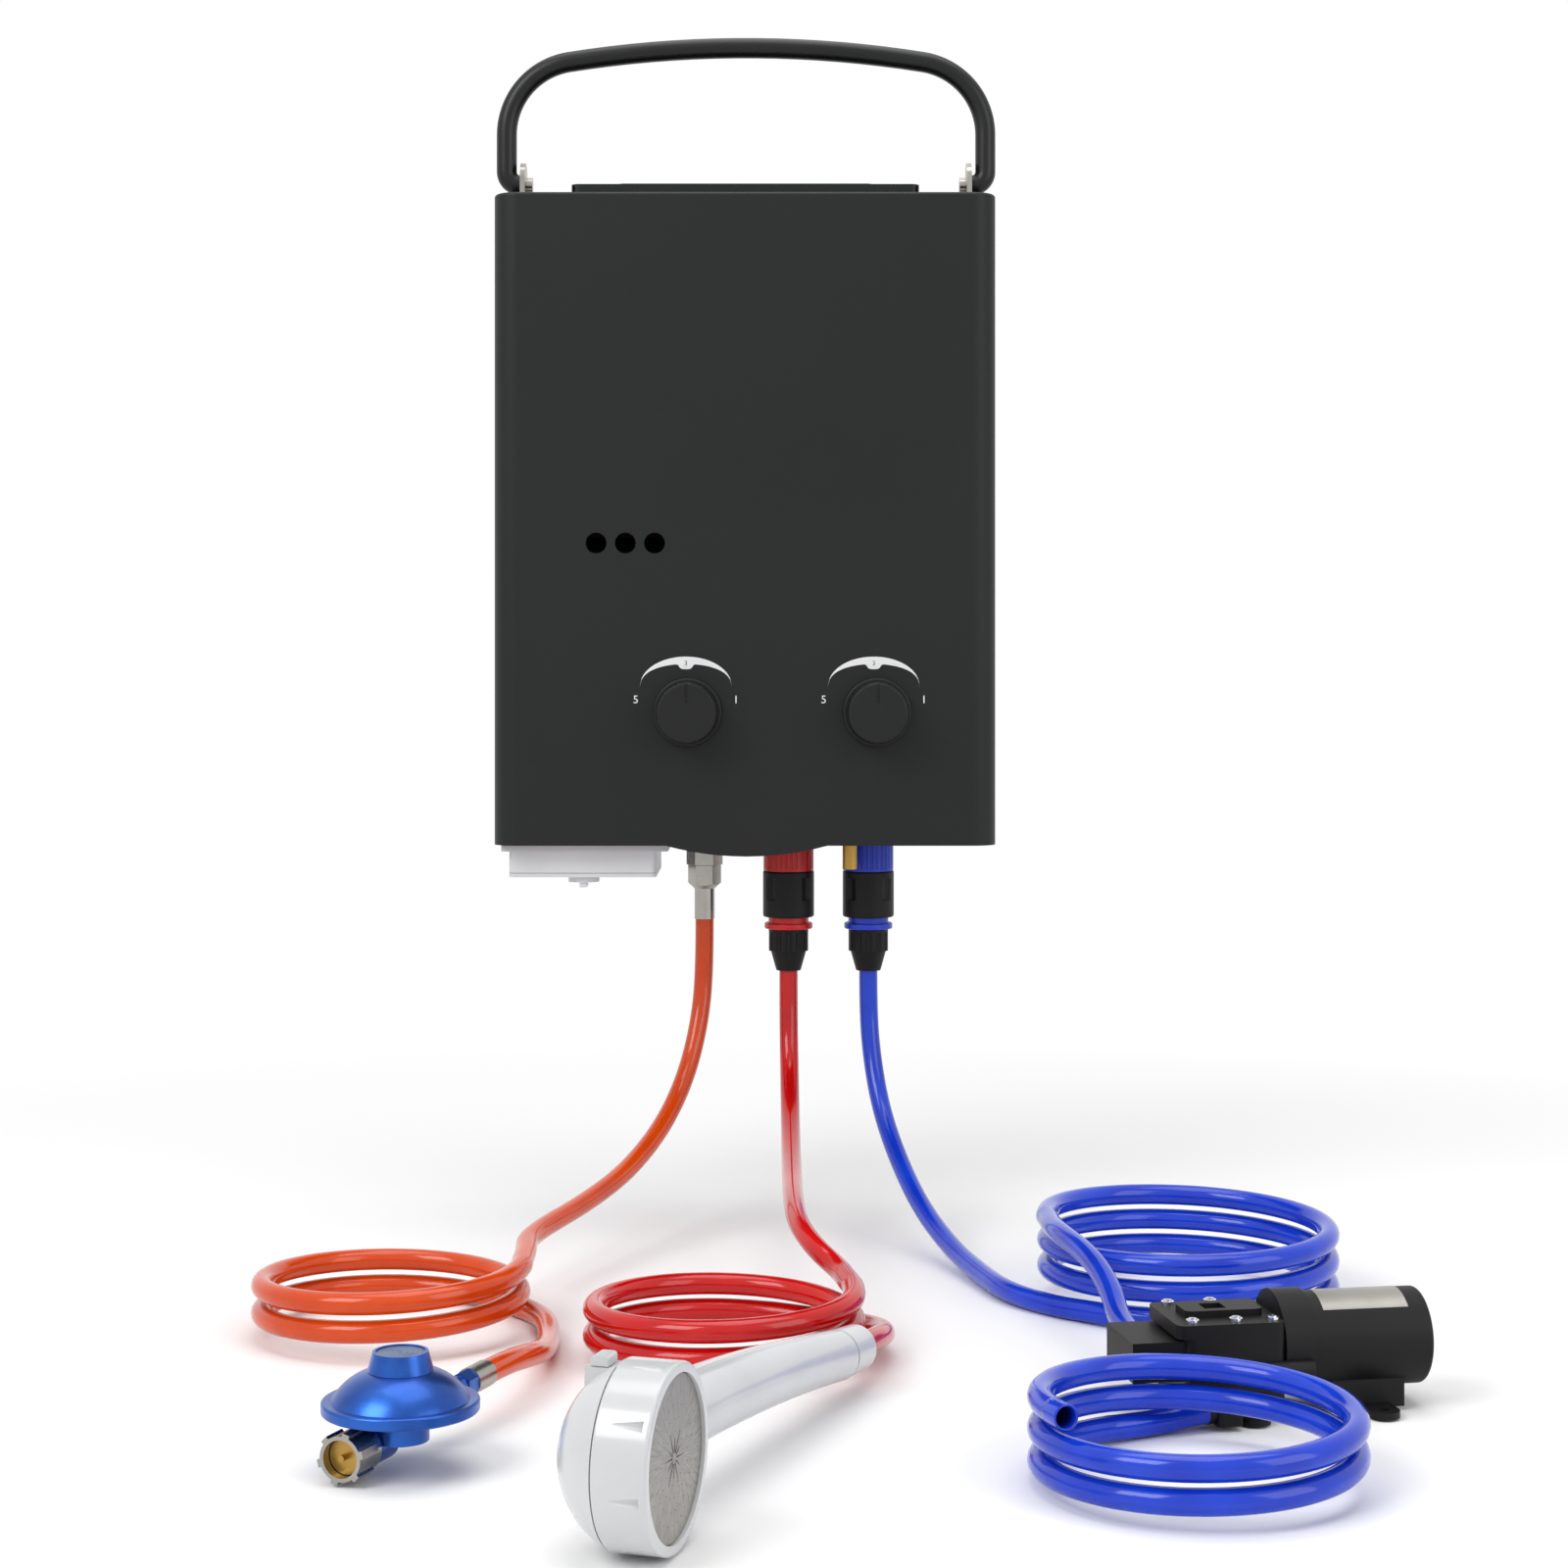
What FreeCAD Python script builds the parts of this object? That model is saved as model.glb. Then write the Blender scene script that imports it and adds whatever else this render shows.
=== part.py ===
import FreeCAD, Part
import math
import os

# Portable propane water heater with gas hose and regulator, shower hose and
# hand shower, supply hose with pump, and suction hose. Millimetres, +Z up,
# +X to the right, +Y towards the wall. The origin is the wall hook hole,
# at the rear face of the back plate.

V = FreeCAD.Vector
UP = V(0, 0, 1)
DOWN = V(0, 0, -1)
RIGHT = V(1, 0, 0)
FRONT = V(0, -1, 0)
REAR = V(0, 1, 0)

# Casing
case_width = 290.0
case_height = 376.0
case_depth = 120.0
sheet = 1.0
case_corner = 14.0
edge_round = 2.0
hook_above_top = 9.0
hook_hole_radius = 4.0
hook_tab_width = 44.0
hook_tab_top = 9.5
lobe_half = 50.0
lobe_drop = 6.2
sight_radius = 6.0
sight_pitch = 16.8
sight_x = -85.4
sight_above_bottom = 174.0
cover_gap = 0.3
screw_radius = 2.0
screw_head_radius = 3.6
screw_head = 1.8
screw_y = -11.0
top_z = -hook_above_top
bottom_z = top_z - case_height
front_y = -case_depth

# Hood on the top
hood_width = 203.0
hood_depth = 70.0
hood_rise = 8.0
hood_top_width = 150.0
hood_top_depth = 48.0
hood_top_rise = 2.0
hood_y = -62.0

# Carrying handle
handle_tube_radius = 6.0
handle_half = 142.5
handle_y = -60.0
handle_pivot_above_top = 13.0
pivot_z = top_z + handle_pivot_above_top
handle_leg_top = 34.0
handle_corner = 44.0
handle_corner_turn = 81.0
handle_foot_bend = 8.0
ear_thickness = 3.0
ear_radius = 9.0
ear_outer_x = 134.0
ear_foot = 13.0
pin_radius = 2.5
pin_fit = 0.05
side_gap = 0.3

# Knobs
gas_knob_x = -32.8
water_knob_x = 76.0
knob_above_bottom = 76.7
knob_z = bottom_z + knob_above_bottom
knob_base_radius = 19.75
knob_face_radius = 16.9
knob_base = 4.0
knob_length = 22.0
knob_flutes = 24
knob_flute_radius = 0.9
knob_gap = 0.8
pointer_width = 1.7
stem_radius = 3.0
stem_fit = 0.05
stem_in_knob = 14.0
stem_hole_gap = 1.0

# Hot and cold connections under the heater
connector_y = -60.0
hot_x = 25.3
cold_x = 72.8
stub_radius = 8.0
tap_nut_radius = 14.9
tap_nut_top = bottom_z - 2.0
tap_nut_height = 16.9
body_radius = 15.2
body_height = 27.5
collar_radius = 11.9
collar_height = 3.5
flange_radius = 14.3
flange_height = 3.5
core_radius = 8.0
spigot_radius = 7.5
spigot_length = 10.0
release_fit = 0.3
hose_nut_radius = 11.8
hose_nut_height = 12.8
hose_nut_taper = 11.7
hose_nut_mouth = 7.3
hose_nut_ribs = 12
grip_flutes = 30

# Gas inlet
gas_x = -24.7
gas_hex = 18.6
flare_hex = 17.0
nipple_radius = 6.0
nipple_hex_top = bottom_z - 3.7
nipple_hex_height = 11.7
flare_nut_height = 13.8
ferrule_radius = 6.0
ferrule_height = 18.1
thread_gap = 0.3

# Drain valve
drain_x = 61.4
drain_y = -82.0
drain_radius = 4.35
drain_low = bottom_z - 16.4

# Inside the casing
chamber_half = case_width / 2 - 50
chamber_front = -98.0
chamber_rear = -22.0
chamber_high = top_z - 43.0
chamber_low = bottom_z + 163.0
tube_radius = 7.0
tube_z = chamber_high - 30.0
tube_rows = (-80.0, -60.0, -40.0)
pipe_x = case_width / 2 - 15
pipe_bend = 9.0
fin_count = 24
fin_thickness = 0.8
fin_pitch = (2 * chamber_half - 15.2) / (fin_count - 1)
fin_half = 20.0
burner_high = chamber_low - 4.0
burner_low = burner_high - 26.0
burner_bars = 5
burner_slots = 8
valve_top = knob_z + 24.3
valve_bottom = knob_z - 29.7
valve_front = -96.0
valve_rear = -46.0
gas_valve_half = 19.0
water_valve_half = 20.0
igniter_left = -case_width / 2 + 11
igniter_width = 28.0
igniter_low = bottom_z + 55.0
igniter_high = bottom_z + 103.0
electrode_places = (-30.0, -12.0)
electrode_z = chamber_low + 4.0
electrode_radius = 1.2
electrode_post = 3.0

# Battery compartment
battery_left = -case_width / 2 + 8.2
battery_right = -51.5
battery_front = -108.0
battery_rear = -33.0
battery_low = bottom_z - 19.1
battery_high = bottom_z + 21.0
battery_wall = 1.6
battery_lid_thick = 2.2
cell_radius = 16.2
cell_length = 61.5
battery_knob_x = -94.0
battery_knob_radius = 9.0
battery_knob_height = 6.2
battery_knob_y = -96.0
knob_shaft = 3.0
hinge_back = 2.4
hinge_up = 2.1
hinge_radius = 2.1
hinge_pin = 1.0
hinge_inset = 9.0
hinge_sweep = 0.9

# Hoses
hose = 11.0
hose_r = hose / 2
floor_z = -611.0
lie_z = floor_z + hose_r
lead = 22.0

# Regulator, in its own turned frame
regulator_place = V(-137.0, -570.0, 0)
regulator_turn = 68.9
rim_radius = 33.0
rim_z = -584.5
rim_thickness = 5.0
bonnet_rise = 12.0
cap_radius = 13.2
cap_top_radius = 11.6
cap_height = 8.0
bowl_radius = 12.0
bowl_drop = 12.0
inlet_offset = 11.0
inlet_z = -600.2
inlet_nut_radius = 9.4
inlet_nut_length = 18.0
inlet_nut_face = -31.0
inlet_lugs = 6
inlet_lug_length = 13.0
inlet_bore = 7.8
outlet_z = -590.0
outlet_radius = 5.0
outlet_hex = 10.5
outlet_reach = 62.0

# Hand shower, along its own axis
shower_face = V(-17.4, -680.6, -575.0)
shower_face_angle = -17.5
ring_radius = 36.0
ring_length = 22.0
dome_length = 24.0
plate_radius = 31.5
plate_thickness = 1.2
plate_recess = 1.5
collar_centre = V(51.0, -452.0, -592.0)
grip_radius = 15.0
grip_end_radius = 11.6
shower_nut_length = 22.0
shower_nut_gap = 1.5
button_travel = 3.0
button_seat = 33.4
pad_length = 13.0
neck_radius = 7.5
neck_length = 12.0

# Pump, along its own axis
pump_place = V(172.3, -485.3, 0)
pump_turn = 10.0
pump_length = 140.0
port_length = 24.0
port_width = 40.0
port_low = 18.0
port_high = 35.5
head_length = 46.0
head_width = 46.0
head_low = 7.0
head_split = 37.0
head_high = 46.0
motor_radius = 21.5
motor_axis = 29.3
bell_radius = 23.0
bell_length = 14.0
barb_radius = 5.5
barb_length = 10.0
outlet_along = 16.0
inlet_along = 40.0
inlet_low = 6.8
foot_radius = 7.0
foot_height = 3.0
foot_hole = 2.3
foot_spread = 26.0
foot_front = 54.0
foot_rear = 114.0
outlet_high = 26.5
inlet_out = 6.0
inlet_swing = 10.0
side_rod_radius = 4.5
side_rod_length = 26.0
side_rod_back = 14.0
pump_screw_radius = 1.5
pump_screw_length = 5.8
screw_row = 24.0


def save(name, *solids):
    shape = solids[0] if len(solids) == 1 else Part.makeCompound(list(solids))
    shape.exportStep("parts/" + name + ".step")


def block(x0, x1, y0, y1, z0, z1):
    return Part.makeBox(x1 - x0, y1 - y0, z1 - z0, V(x0, y0, z0))


def rod(radius, length, base, axis=UP):
    return Part.makeCylinder(radius, length, base, axis)


def washer(outer, inner, length, base, axis=UP):
    return rod(outer, length, base, axis).cut(rod(inner, length, base, axis))


def hexagon(flats, length, base, axis=UP):
    corner = flats / math.sqrt(3)
    points = [V(corner * math.cos(math.radians(60 * i)), corner * math.sin(math.radians(60 * i)), 0)
              for i in range(7)]
    prism = Part.Face(Part.makePolygon(points)).extrude(V(0, 0, length))
    prism.Placement = FreeCAD.Placement(base, FreeCAD.Rotation(UP, axis))
    return prism


def round_edges(shape, radius, picks):
    edges = [edge for edge in shape.Edges if picks(edge)]
    return shape.makeFillet(radius, edges)


def upright(edge):
    direction = edge.tangentAt(edge.FirstParameter)
    return abs(direction.z) > 0.99


def flutes(radius, count, depth_radius, length, base):
    cutters = []
    for i in range(count):
        angle = 2 * math.pi * i / count
        offset = V(radius * math.cos(angle), radius * math.sin(angle), 0)
        cutters.append(rod(depth_radius, length, base + offset))
    return Part.makeCompound(cutters)


def arc_from(start, tangent, end):
    chord = end - start
    along = V(chord).normalize()
    across = tangent - along * tangent.dot(along)
    half_angle = tangent.getAngle(chord)
    across.normalize()
    middle = (start + end) * 0.5 + across * (chord.Length / 2 * math.tan(half_angle / 2))
    return Part.Arc(start, middle, end).toShape()


def biarc(start, tangent, end, end_tangent):
    gap = end - start
    total = tangent + end_tangent
    rest = 4 - total.dot(total)
    reach = (math.sqrt(gap.dot(total) ** 2 + rest * gap.dot(gap)) - gap.dot(total)) / rest
    joint = (start + tangent * reach + end - end_tangent * reach) * 0.5
    back = arc_from(end, end_tangent * -1, joint)
    return [arc_from(start, tangent, joint), Part.Wire([back]).reversed().Edges[0]]


def sweep(edges, radius):
    path = Part.Wire(edges)
    first = path.Edges[0]
    start = first.valueAt(first.FirstParameter)
    direction = first.tangentAt(first.FirstParameter)
    ring = Part.Wire([Part.Circle(start, direction, radius).toShape()])
    return path.makePipeShell([ring], True, False)


def revolved(outline, axis):
    solid = Part.Face(outline).revolve(V(0, 0, 0), axis, 360)
    if solid.Volume < 0:
        solid.reverse()
    return solid


def bent_edges(points, radius=None):
    edges, radii = [], []
    last = points[0]
    for before, corner, after in zip(points, points[1:], points[2:]):
        inward, outward = corner - before, after - corner
        turn = inward.getAngle(outward)
        shorter = min(inward.Length, outward.Length)
        bend = radius or 0.45 * shorter / math.tan(turn / 2)
        setback = bend * math.tan(turn / 2)
        radii.append(bend)
        inward.normalize()
        outward.normalize()
        enter, leave = corner - inward * setback, corner + outward * setback
        edges.append(Part.LineSegment(last, enter).toShape())
        edges.append(arc_from(enter, inward, leave))
        last = leave
    edges.append(Part.LineSegment(last, points[-1]).toShape())
    return edges, radii


def cord_run(name, points):
    print(name, [tuple(round(value, 1) for value in point) for point in points])
    edges, radii = bent_edges([V(point) for point in points])
    solid = sweep(edges, hose_r)
    length = sum(edge.Length for edge in edges)
    share = solid.Volume / (math.pi * hose_r ** 2 * length)
    print(name, "length", round(length, 1), "volume share", round(share, 4),
          "radii", [round(value) for value in radii])
    return solid


def coil(name, centre, radius, start, stop, low, high):
    """A helix of round hose from one angle to another, with straight ends."""
    steps = max(4, round(abs(stop - start) / 90))
    sign = 1 if stop > start else -1
    climb = (high - low) / math.radians(abs(stop - start))
    marks = []
    for i in range(steps + 1):
        angle = math.radians(start + (stop - start) * i / steps)
        spot = V(centre[0] + radius * math.cos(angle), centre[1] + radius * math.sin(angle),
                 low + (high - low) * i / steps)
        heading = V(-sign * radius * math.sin(angle), sign * radius * math.cos(angle), climb)
        marks.append((spot, heading.normalize()))
    first, lead_in = marks[0]
    edges = [Part.LineSegment(first - lead_in * hose, first).toShape()]
    for (spot, heading), (after, turned) in zip(marks, marks[1:]):
        edges += biarc(spot, heading, after, turned)
    last, lead_out = marks[-1]
    edges.append(Part.LineSegment(last, last + lead_out * hose).toShape())
    solid = sweep(edges, hose_r)
    length = sum(edge.Length for edge in edges)
    share = solid.Volume / (math.pi * hose_r ** 2 * length)
    points = Part.Wire(edges).discretize(Distance=3.0)
    apart = int(math.pi * radius / 3)
    gap = min(a.distanceToPoint(b) for i, a in enumerate(points) for b in points[i + apart:]) - hose
    start_end, stop_end = first - lead_in * hose, last + lead_out * hose
    print(name, "length", round(length, 1), "volume share", round(share, 4), "least gap", round(gap, 2))
    before = [start_end - lead_in * lead, start_end]
    return solid, before, [stop_end, stop_end + lead_out * lead]


# Casing: front cover, back plate with shelf and hook tab, hood and screws

def front_cover():
    outer = block(-case_width / 2, case_width / 2, front_y, -sheet - cover_gap, bottom_z, top_z)
    outer = round_edges(outer, case_corner, lambda e: upright(e) and e.CenterOfMass.y < front_y + 1)
    rim = front_y + case_corner / 2
    outer = round_edges(outer, edge_round,
                        lambda e: abs(e.CenterOfMass.z - top_z) < 0.01 and e.CenterOfMass.y < rim)
    inner = block(-case_width / 2 + sheet, case_width / 2 - sheet, front_y + sheet, 0,
                  bottom_z - 1, top_z - sheet)
    inner = round_edges(inner, case_corner - sheet,
                        lambda e: upright(e) and e.CenterOfMass.y < front_y + sheet + 1)
    shell = outer.cut(inner)
    middle = 1.0
    left = V(middle - lobe_half, front_y, bottom_z + sheet)
    right = V(middle + lobe_half, front_y, bottom_z + sheet)
    arc = Part.Arc(left, V(middle, front_y, bottom_z - lobe_drop), right).toShape()
    lobe = Part.Face(Part.Wire([arc, Part.LineSegment(right, left).toShape()]))
    shell = shell.fuse(lobe.extrude(V(0, sheet, 0))).removeSplitter()
    sight_z = bottom_z + sight_above_bottom
    cuts = [rod(sight_radius, 3 * sheet, V(sight_x + sight_pitch * i, front_y - sheet, sight_z), REAR)
            for i in range(3)]
    for x in (gas_knob_x, water_knob_x):
        cuts.append(rod(stem_radius + stem_hole_gap, 3 * sheet, V(x, front_y - sheet, knob_z), REAR))
    mouth = hood_width / 2 - 8
    cuts.append(block(-mouth, mouth, hood_y - hood_depth / 2 + 8, hood_y + hood_depth / 2 - 8,
                      top_z - 2, top_z + 1))
    for side in (-1, 1):
        for z in screw_heights():
            cuts.append(rod(screw_radius + 0.3, 4, V(side * case_width / 2 - 2, screw_y, z), RIGHT))
    return shell.cut(Part.makeCompound(cuts))


def screw_heights():
    return (top_z - 40.0, bottom_z + 40.0)


def back_plate():
    inset = sheet + cover_gap
    half = case_width / 2 - inset
    plate = block(-half, half, -sheet, 0, bottom_z, top_z - inset)
    tab_half = hook_tab_width / 2
    tab = block(-tab_half, tab_half, -sheet, 0, top_z - inset, hook_tab_top)
    tab = tab.cut(rod(hook_hole_radius, 3 * sheet, V(0, -2 * sheet, 0), REAR))
    for side in (-1, 1):
        outer = side * half
        inner = side * (half - sheet)
        flange = block(min(outer, inner), max(outer, inner), -22, 0, bottom_z, top_z - inset)
        plate = plate.fuse(flange)
    shelf = block(-half, half, front_y + case_corner + sheet, 0, bottom_z, bottom_z + sheet)
    plate = plate.fuse(shelf).removeSplitter()
    cuts = [block(battery_left - cover_gap, battery_right + cover_gap, battery_front - cover_gap,
                  battery_rear + cover_gap, bottom_z - 1, bottom_z + 2)]
    for x, radius in ((gas_x, nipple_radius), (hot_x, stub_radius), (cold_x, stub_radius)):
        cuts.append(rod(radius + cover_gap, 4, V(x, connector_y, bottom_z - 1)))
    cuts.append(rod(drain_radius + cover_gap, 4, V(drain_x, drain_y, bottom_z - 1)))
    for side in (-1, 1):
        for z in screw_heights():
            cuts.append(rod(screw_radius + 0.05, 6, V(side * half - 3, screw_y, z), RIGHT))
    return plate.cut(Part.makeCompound(cuts)), tab


def exhaust_hood():
    x, y = hood_width / 2, hood_depth / 2
    tx, ty = hood_top_width / 2, hood_top_depth / 2
    low, mid, high = top_z, top_z + hood_rise, top_z + hood_rise + hood_top_rise
    outer = round_edges(block(-x, x, hood_y - y, hood_y + y, low, mid), 5, upright)
    outer = outer.fuse(round_edges(block(-tx, tx, hood_y - ty, hood_y + ty, mid, high), 4, upright))
    inner = block(-x + sheet, x - sheet, hood_y - y + sheet, hood_y + y - sheet, low, mid - sheet)
    inner = inner.fuse(block(-tx + sheet, tx - sheet, hood_y - ty + sheet, hood_y + ty - sheet,
                             low, high - sheet))
    slots = [block(-tx + 12 + 22 * i, -tx + 28 + 22 * i, hood_y - ty + 7, hood_y + ty - 7, mid, high + 1)
             for i in range(6)]
    return outer.cut(inner).cut(Part.makeCompound(slots)).removeSplitter()


def cover_screws():
    screws = []
    for side in (-1, 1):
        for z in screw_heights():
            face = V(side * case_width / 2, screw_y, z)
            axis = V(side, 0, 0)
            shank = rod(screw_radius, 7, face - axis * 7, axis)
            head = rod(screw_head_radius, screw_head, face, axis)
            slot = block(-0.4, 0.4, -5, 5, -5, 5)
            slot.translate(face + axis * (screw_head + 0.1))
            screws.append(shank.fuse(head).cut(slot).removeSplitter())
    return screws


# Inside the casing

def combustion_chamber():
    box = block(-chamber_half, chamber_half, chamber_front, chamber_rear, chamber_low, chamber_high)
    box = box.cut(block(-chamber_half + sheet, chamber_half - sheet, chamber_front + sheet,
                        chamber_rear - sheet, chamber_low - 1, chamber_high + 1))
    for y in tube_rows:
        hole = rod(tube_radius + cover_gap, 2 * chamber_half + 4, V(-chamber_half - 2, y, tube_z), RIGHT)
        box = box.cut(hole)
    for x in electrode_places:
        box = box.cut(rod(electrode_radius + cover_gap, 3, V(x, chamber_front - 1, electrode_z), REAR))
    window = block(sight_x - 6, sight_x + 2 * sight_pitch + 6, chamber_front - 1, chamber_front + 2,
                   bottom_z + sight_above_bottom - 4, bottom_z + sight_above_bottom + 4)
    foot = block(-chamber_half, chamber_half, chamber_rear, -sheet, chamber_low, chamber_low + sheet)
    return box.cut(window).fuse(foot).removeSplitter()


def heat_exchanger():
    fins = []
    start = -fin_pitch * (fin_count - 1) / 2
    for i in range(fin_count):
        x = start + fin_pitch * i
        fin = block(x - fin_thickness / 2, x + fin_thickness / 2, chamber_front + sheet + 0.4,
                    chamber_rear - sheet - 0.4, tube_z - fin_half, tube_z + fin_half)
        for y in tube_rows:
            fin = fin.cut(rod(tube_radius, 4, V(x - 2, y, tube_z), RIGHT))
        fins.append(fin)
    return fins


def exchanger_tube():
    first, second, third = tube_rows
    reach = chamber_half + 8
    bend = (second - first) / 2
    edges = []
    rows = ((third, 1), (second, -1), (first, 1))
    for y, side in rows:
        edges.append(Part.LineSegment(V(side * reach, y, tube_z), V(-side * reach, y, tube_z)).toShape())
    edges.insert(1, Part.Arc(V(-reach, third, tube_z), V(-reach - bend, third - bend, tube_z),
                             V(-reach, second, tube_z)).toShape())
    edges.insert(3, Part.Arc(V(reach, second, tube_z), V(reach + bend, second - bend, tube_z),
                             V(reach, first, tube_z)).toShape())
    return sweep(edges, tube_radius)


def water_pipes():
    first, second, third = tube_rows
    reach = chamber_half + 8
    low = valve_bottom - 14
    valve_side = water_knob_x + water_valve_half
    cold = [V(reach, third, tube_z), V(pipe_x, third, tube_z), V(pipe_x, third, valve_top - 20),
            V(valve_side - 3, third - 13, valve_top - 20)]
    hot = [V(-reach, first, tube_z), V(-pipe_x, first, tube_z), V(-pipe_x, first, low), V(hot_x, first, low)]
    cold_pipe = sweep(bent_edges(cold, pipe_bend)[0], tube_radius)
    valve = block(water_knob_x, valve_side, valve_front, valve_rear, valve_bottom, valve_top)
    cold_pipe = cold_pipe.cut(valve)
    hot_pipe = sweep(bent_edges(hot, pipe_bend)[0], tube_radius)
    stub_low = tap_nut_top - 9
    stub = rod(stub_radius, low + tube_radius - stub_low, V(hot_x, connector_y, stub_low))
    joint = block(hot_x - 9, hot_x + 9, first - 7, connector_y + 9, low - 8, low + 8)
    cold_stub = rod(stub_radius, valve_bottom - stub_low, V(cold_x, connector_y, stub_low))
    return cold_pipe, hot_pipe.fuse(joint).fuse(stub).removeSplitter(), cold_stub


def burner():
    tray = block(-chamber_half + 4, chamber_half - 4, chamber_front + 8, chamber_rear - 8,
                 burner_low, burner_low + 2)
    wall = block(-chamber_half + 4, chamber_half - 4, chamber_rear - 9, chamber_rear - 8,
                 burner_low, burner_high)
    lug = block(-20, 20, chamber_rear - 8, -sheet, burner_low, burner_low + 2)
    solid = tray.fuse(wall).fuse(lug)
    pitch = (2 * chamber_half - 30) / burner_bars
    for i in range(burner_bars):
        x = -pitch * (burner_bars - 1) / 2 + pitch * i
        bar = block(x - 5, x + 5, chamber_front + 12, chamber_rear - 8, burner_low + 2, burner_high)
        for k in range(burner_slots):
            y = chamber_front + 18 + 6 * k
            bar = bar.cut(block(x - 3, x + 3, y, y + 1.5, burner_high - 4, burner_high + 1))
        solid = solid.fuse(bar)
    return solid.removeSplitter()


def gas_manifold():
    rail = rod(5, 2 * chamber_half - 30, V(-chamber_half + 15, valve_rear - 6, burner_low - 12), RIGHT)
    riser = rod(5, burner_low - 12 - valve_top, V(gas_knob_x, valve_rear - 6, valve_top))
    solid = rail.fuse(riser)
    pitch = (2 * chamber_half - 30) / burner_bars
    for i in range(burner_bars):
        x = -pitch * (burner_bars - 1) / 2 + pitch * i
        solid = solid.fuse(rod(2.2, 12, V(x, valve_rear - 6, burner_low - 12)))
    return solid.removeSplitter()


def valve_body(x, half, bores):
    solid = block(x - half, x + half, valve_front, valve_rear, valve_bottom, valve_top)
    solid = round_edges(solid, 4, lambda e: upright(e) and e.CenterOfMass.y < valve_front + 1)
    nose = rod(8, valve_front - front_y - 6, V(x, front_y + 6, knob_z), REAR)
    return solid.fuse(nose).cut(Part.makeCompound(bores)).removeSplitter()


def stem(x):
    start = front_y - knob_gap - knob_length + 4
    return rod(stem_radius, stem_in_knob + 60, V(x, start, knob_z), REAR)


def stem_bore(x):
    end = front_y - knob_gap - knob_length + 4 + stem_in_knob + 60
    return rod(stem_radius + stem_fit, end - front_y + cover_gap, V(x, front_y, knob_z), REAR)


def knob(x):
    base = V(x, front_y - knob_gap, knob_z)
    skirt = rod(knob_base_radius, knob_base, base, FRONT)
    skirt = round_edges(skirt, 1.2, lambda e: abs(e.CenterOfMass.y - base.y + knob_base) < 0.01)
    grip = Part.makeCone(knob_face_radius + 0.9, knob_face_radius, knob_length - knob_base,
                         base + FRONT * knob_base, FRONT)
    face_y = base.y - knob_length
    grip = round_edges(grip, 1.0, lambda e: abs(e.CenterOfMass.y - face_y) < 0.01)
    cutters = []
    for i in range(knob_flutes):
        angle = 2 * math.pi * (i + 0.5) / knob_flutes
        offset = V(math.cos(angle), 0, math.sin(angle)) * (knob_face_radius + 1.3)
        foot = base + offset + FRONT * (knob_base + 1)
        cutters.append(rod(knob_flute_radius, knob_length - knob_base - 3, foot, FRONT))
    groove = block(x - pointer_width / 2, x + pointer_width / 2, face_y - 1, face_y + 0.8,
                   knob_z + 6, knob_z + knob_face_radius + 2)
    solid = skirt.fuse(grip).cut(Part.makeCompound(cutters)).cut(groove)
    return solid.cut(rod(stem_radius, knob_length - 4, base, FRONT))


def small_parts():
    right = igniter_left + igniter_width
    igniter = round_edges(block(igniter_left, right, -70, -30, igniter_low, igniter_high), 2, upright)
    foot = block(igniter_left + 8, right - 8, -30, -sheet, igniter_high - 18, igniter_high - 8)
    save("igniter_module", igniter.fuse(foot).removeSplitter())
    rods = []
    for x in electrode_places:
        start = V(x, chamber_front - 6, electrode_z)
        tip = rod(electrode_radius, 34, start, REAR)
        post = rod(electrode_post, 6, start, REAR)
        rods.append(tip.fuse(post).removeSplitter())
    save("electrodes", *rods)
    drain = rod(drain_radius, bottom_z - drain_low + 6, V(drain_x, drain_y, drain_low))
    ring = rod(drain_radius - 1, valve_bottom - bottom_z - 6, V(drain_x, drain_y, bottom_z + 6))
    save("drain_valve", drain.fuse(ring).removeSplitter())


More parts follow.
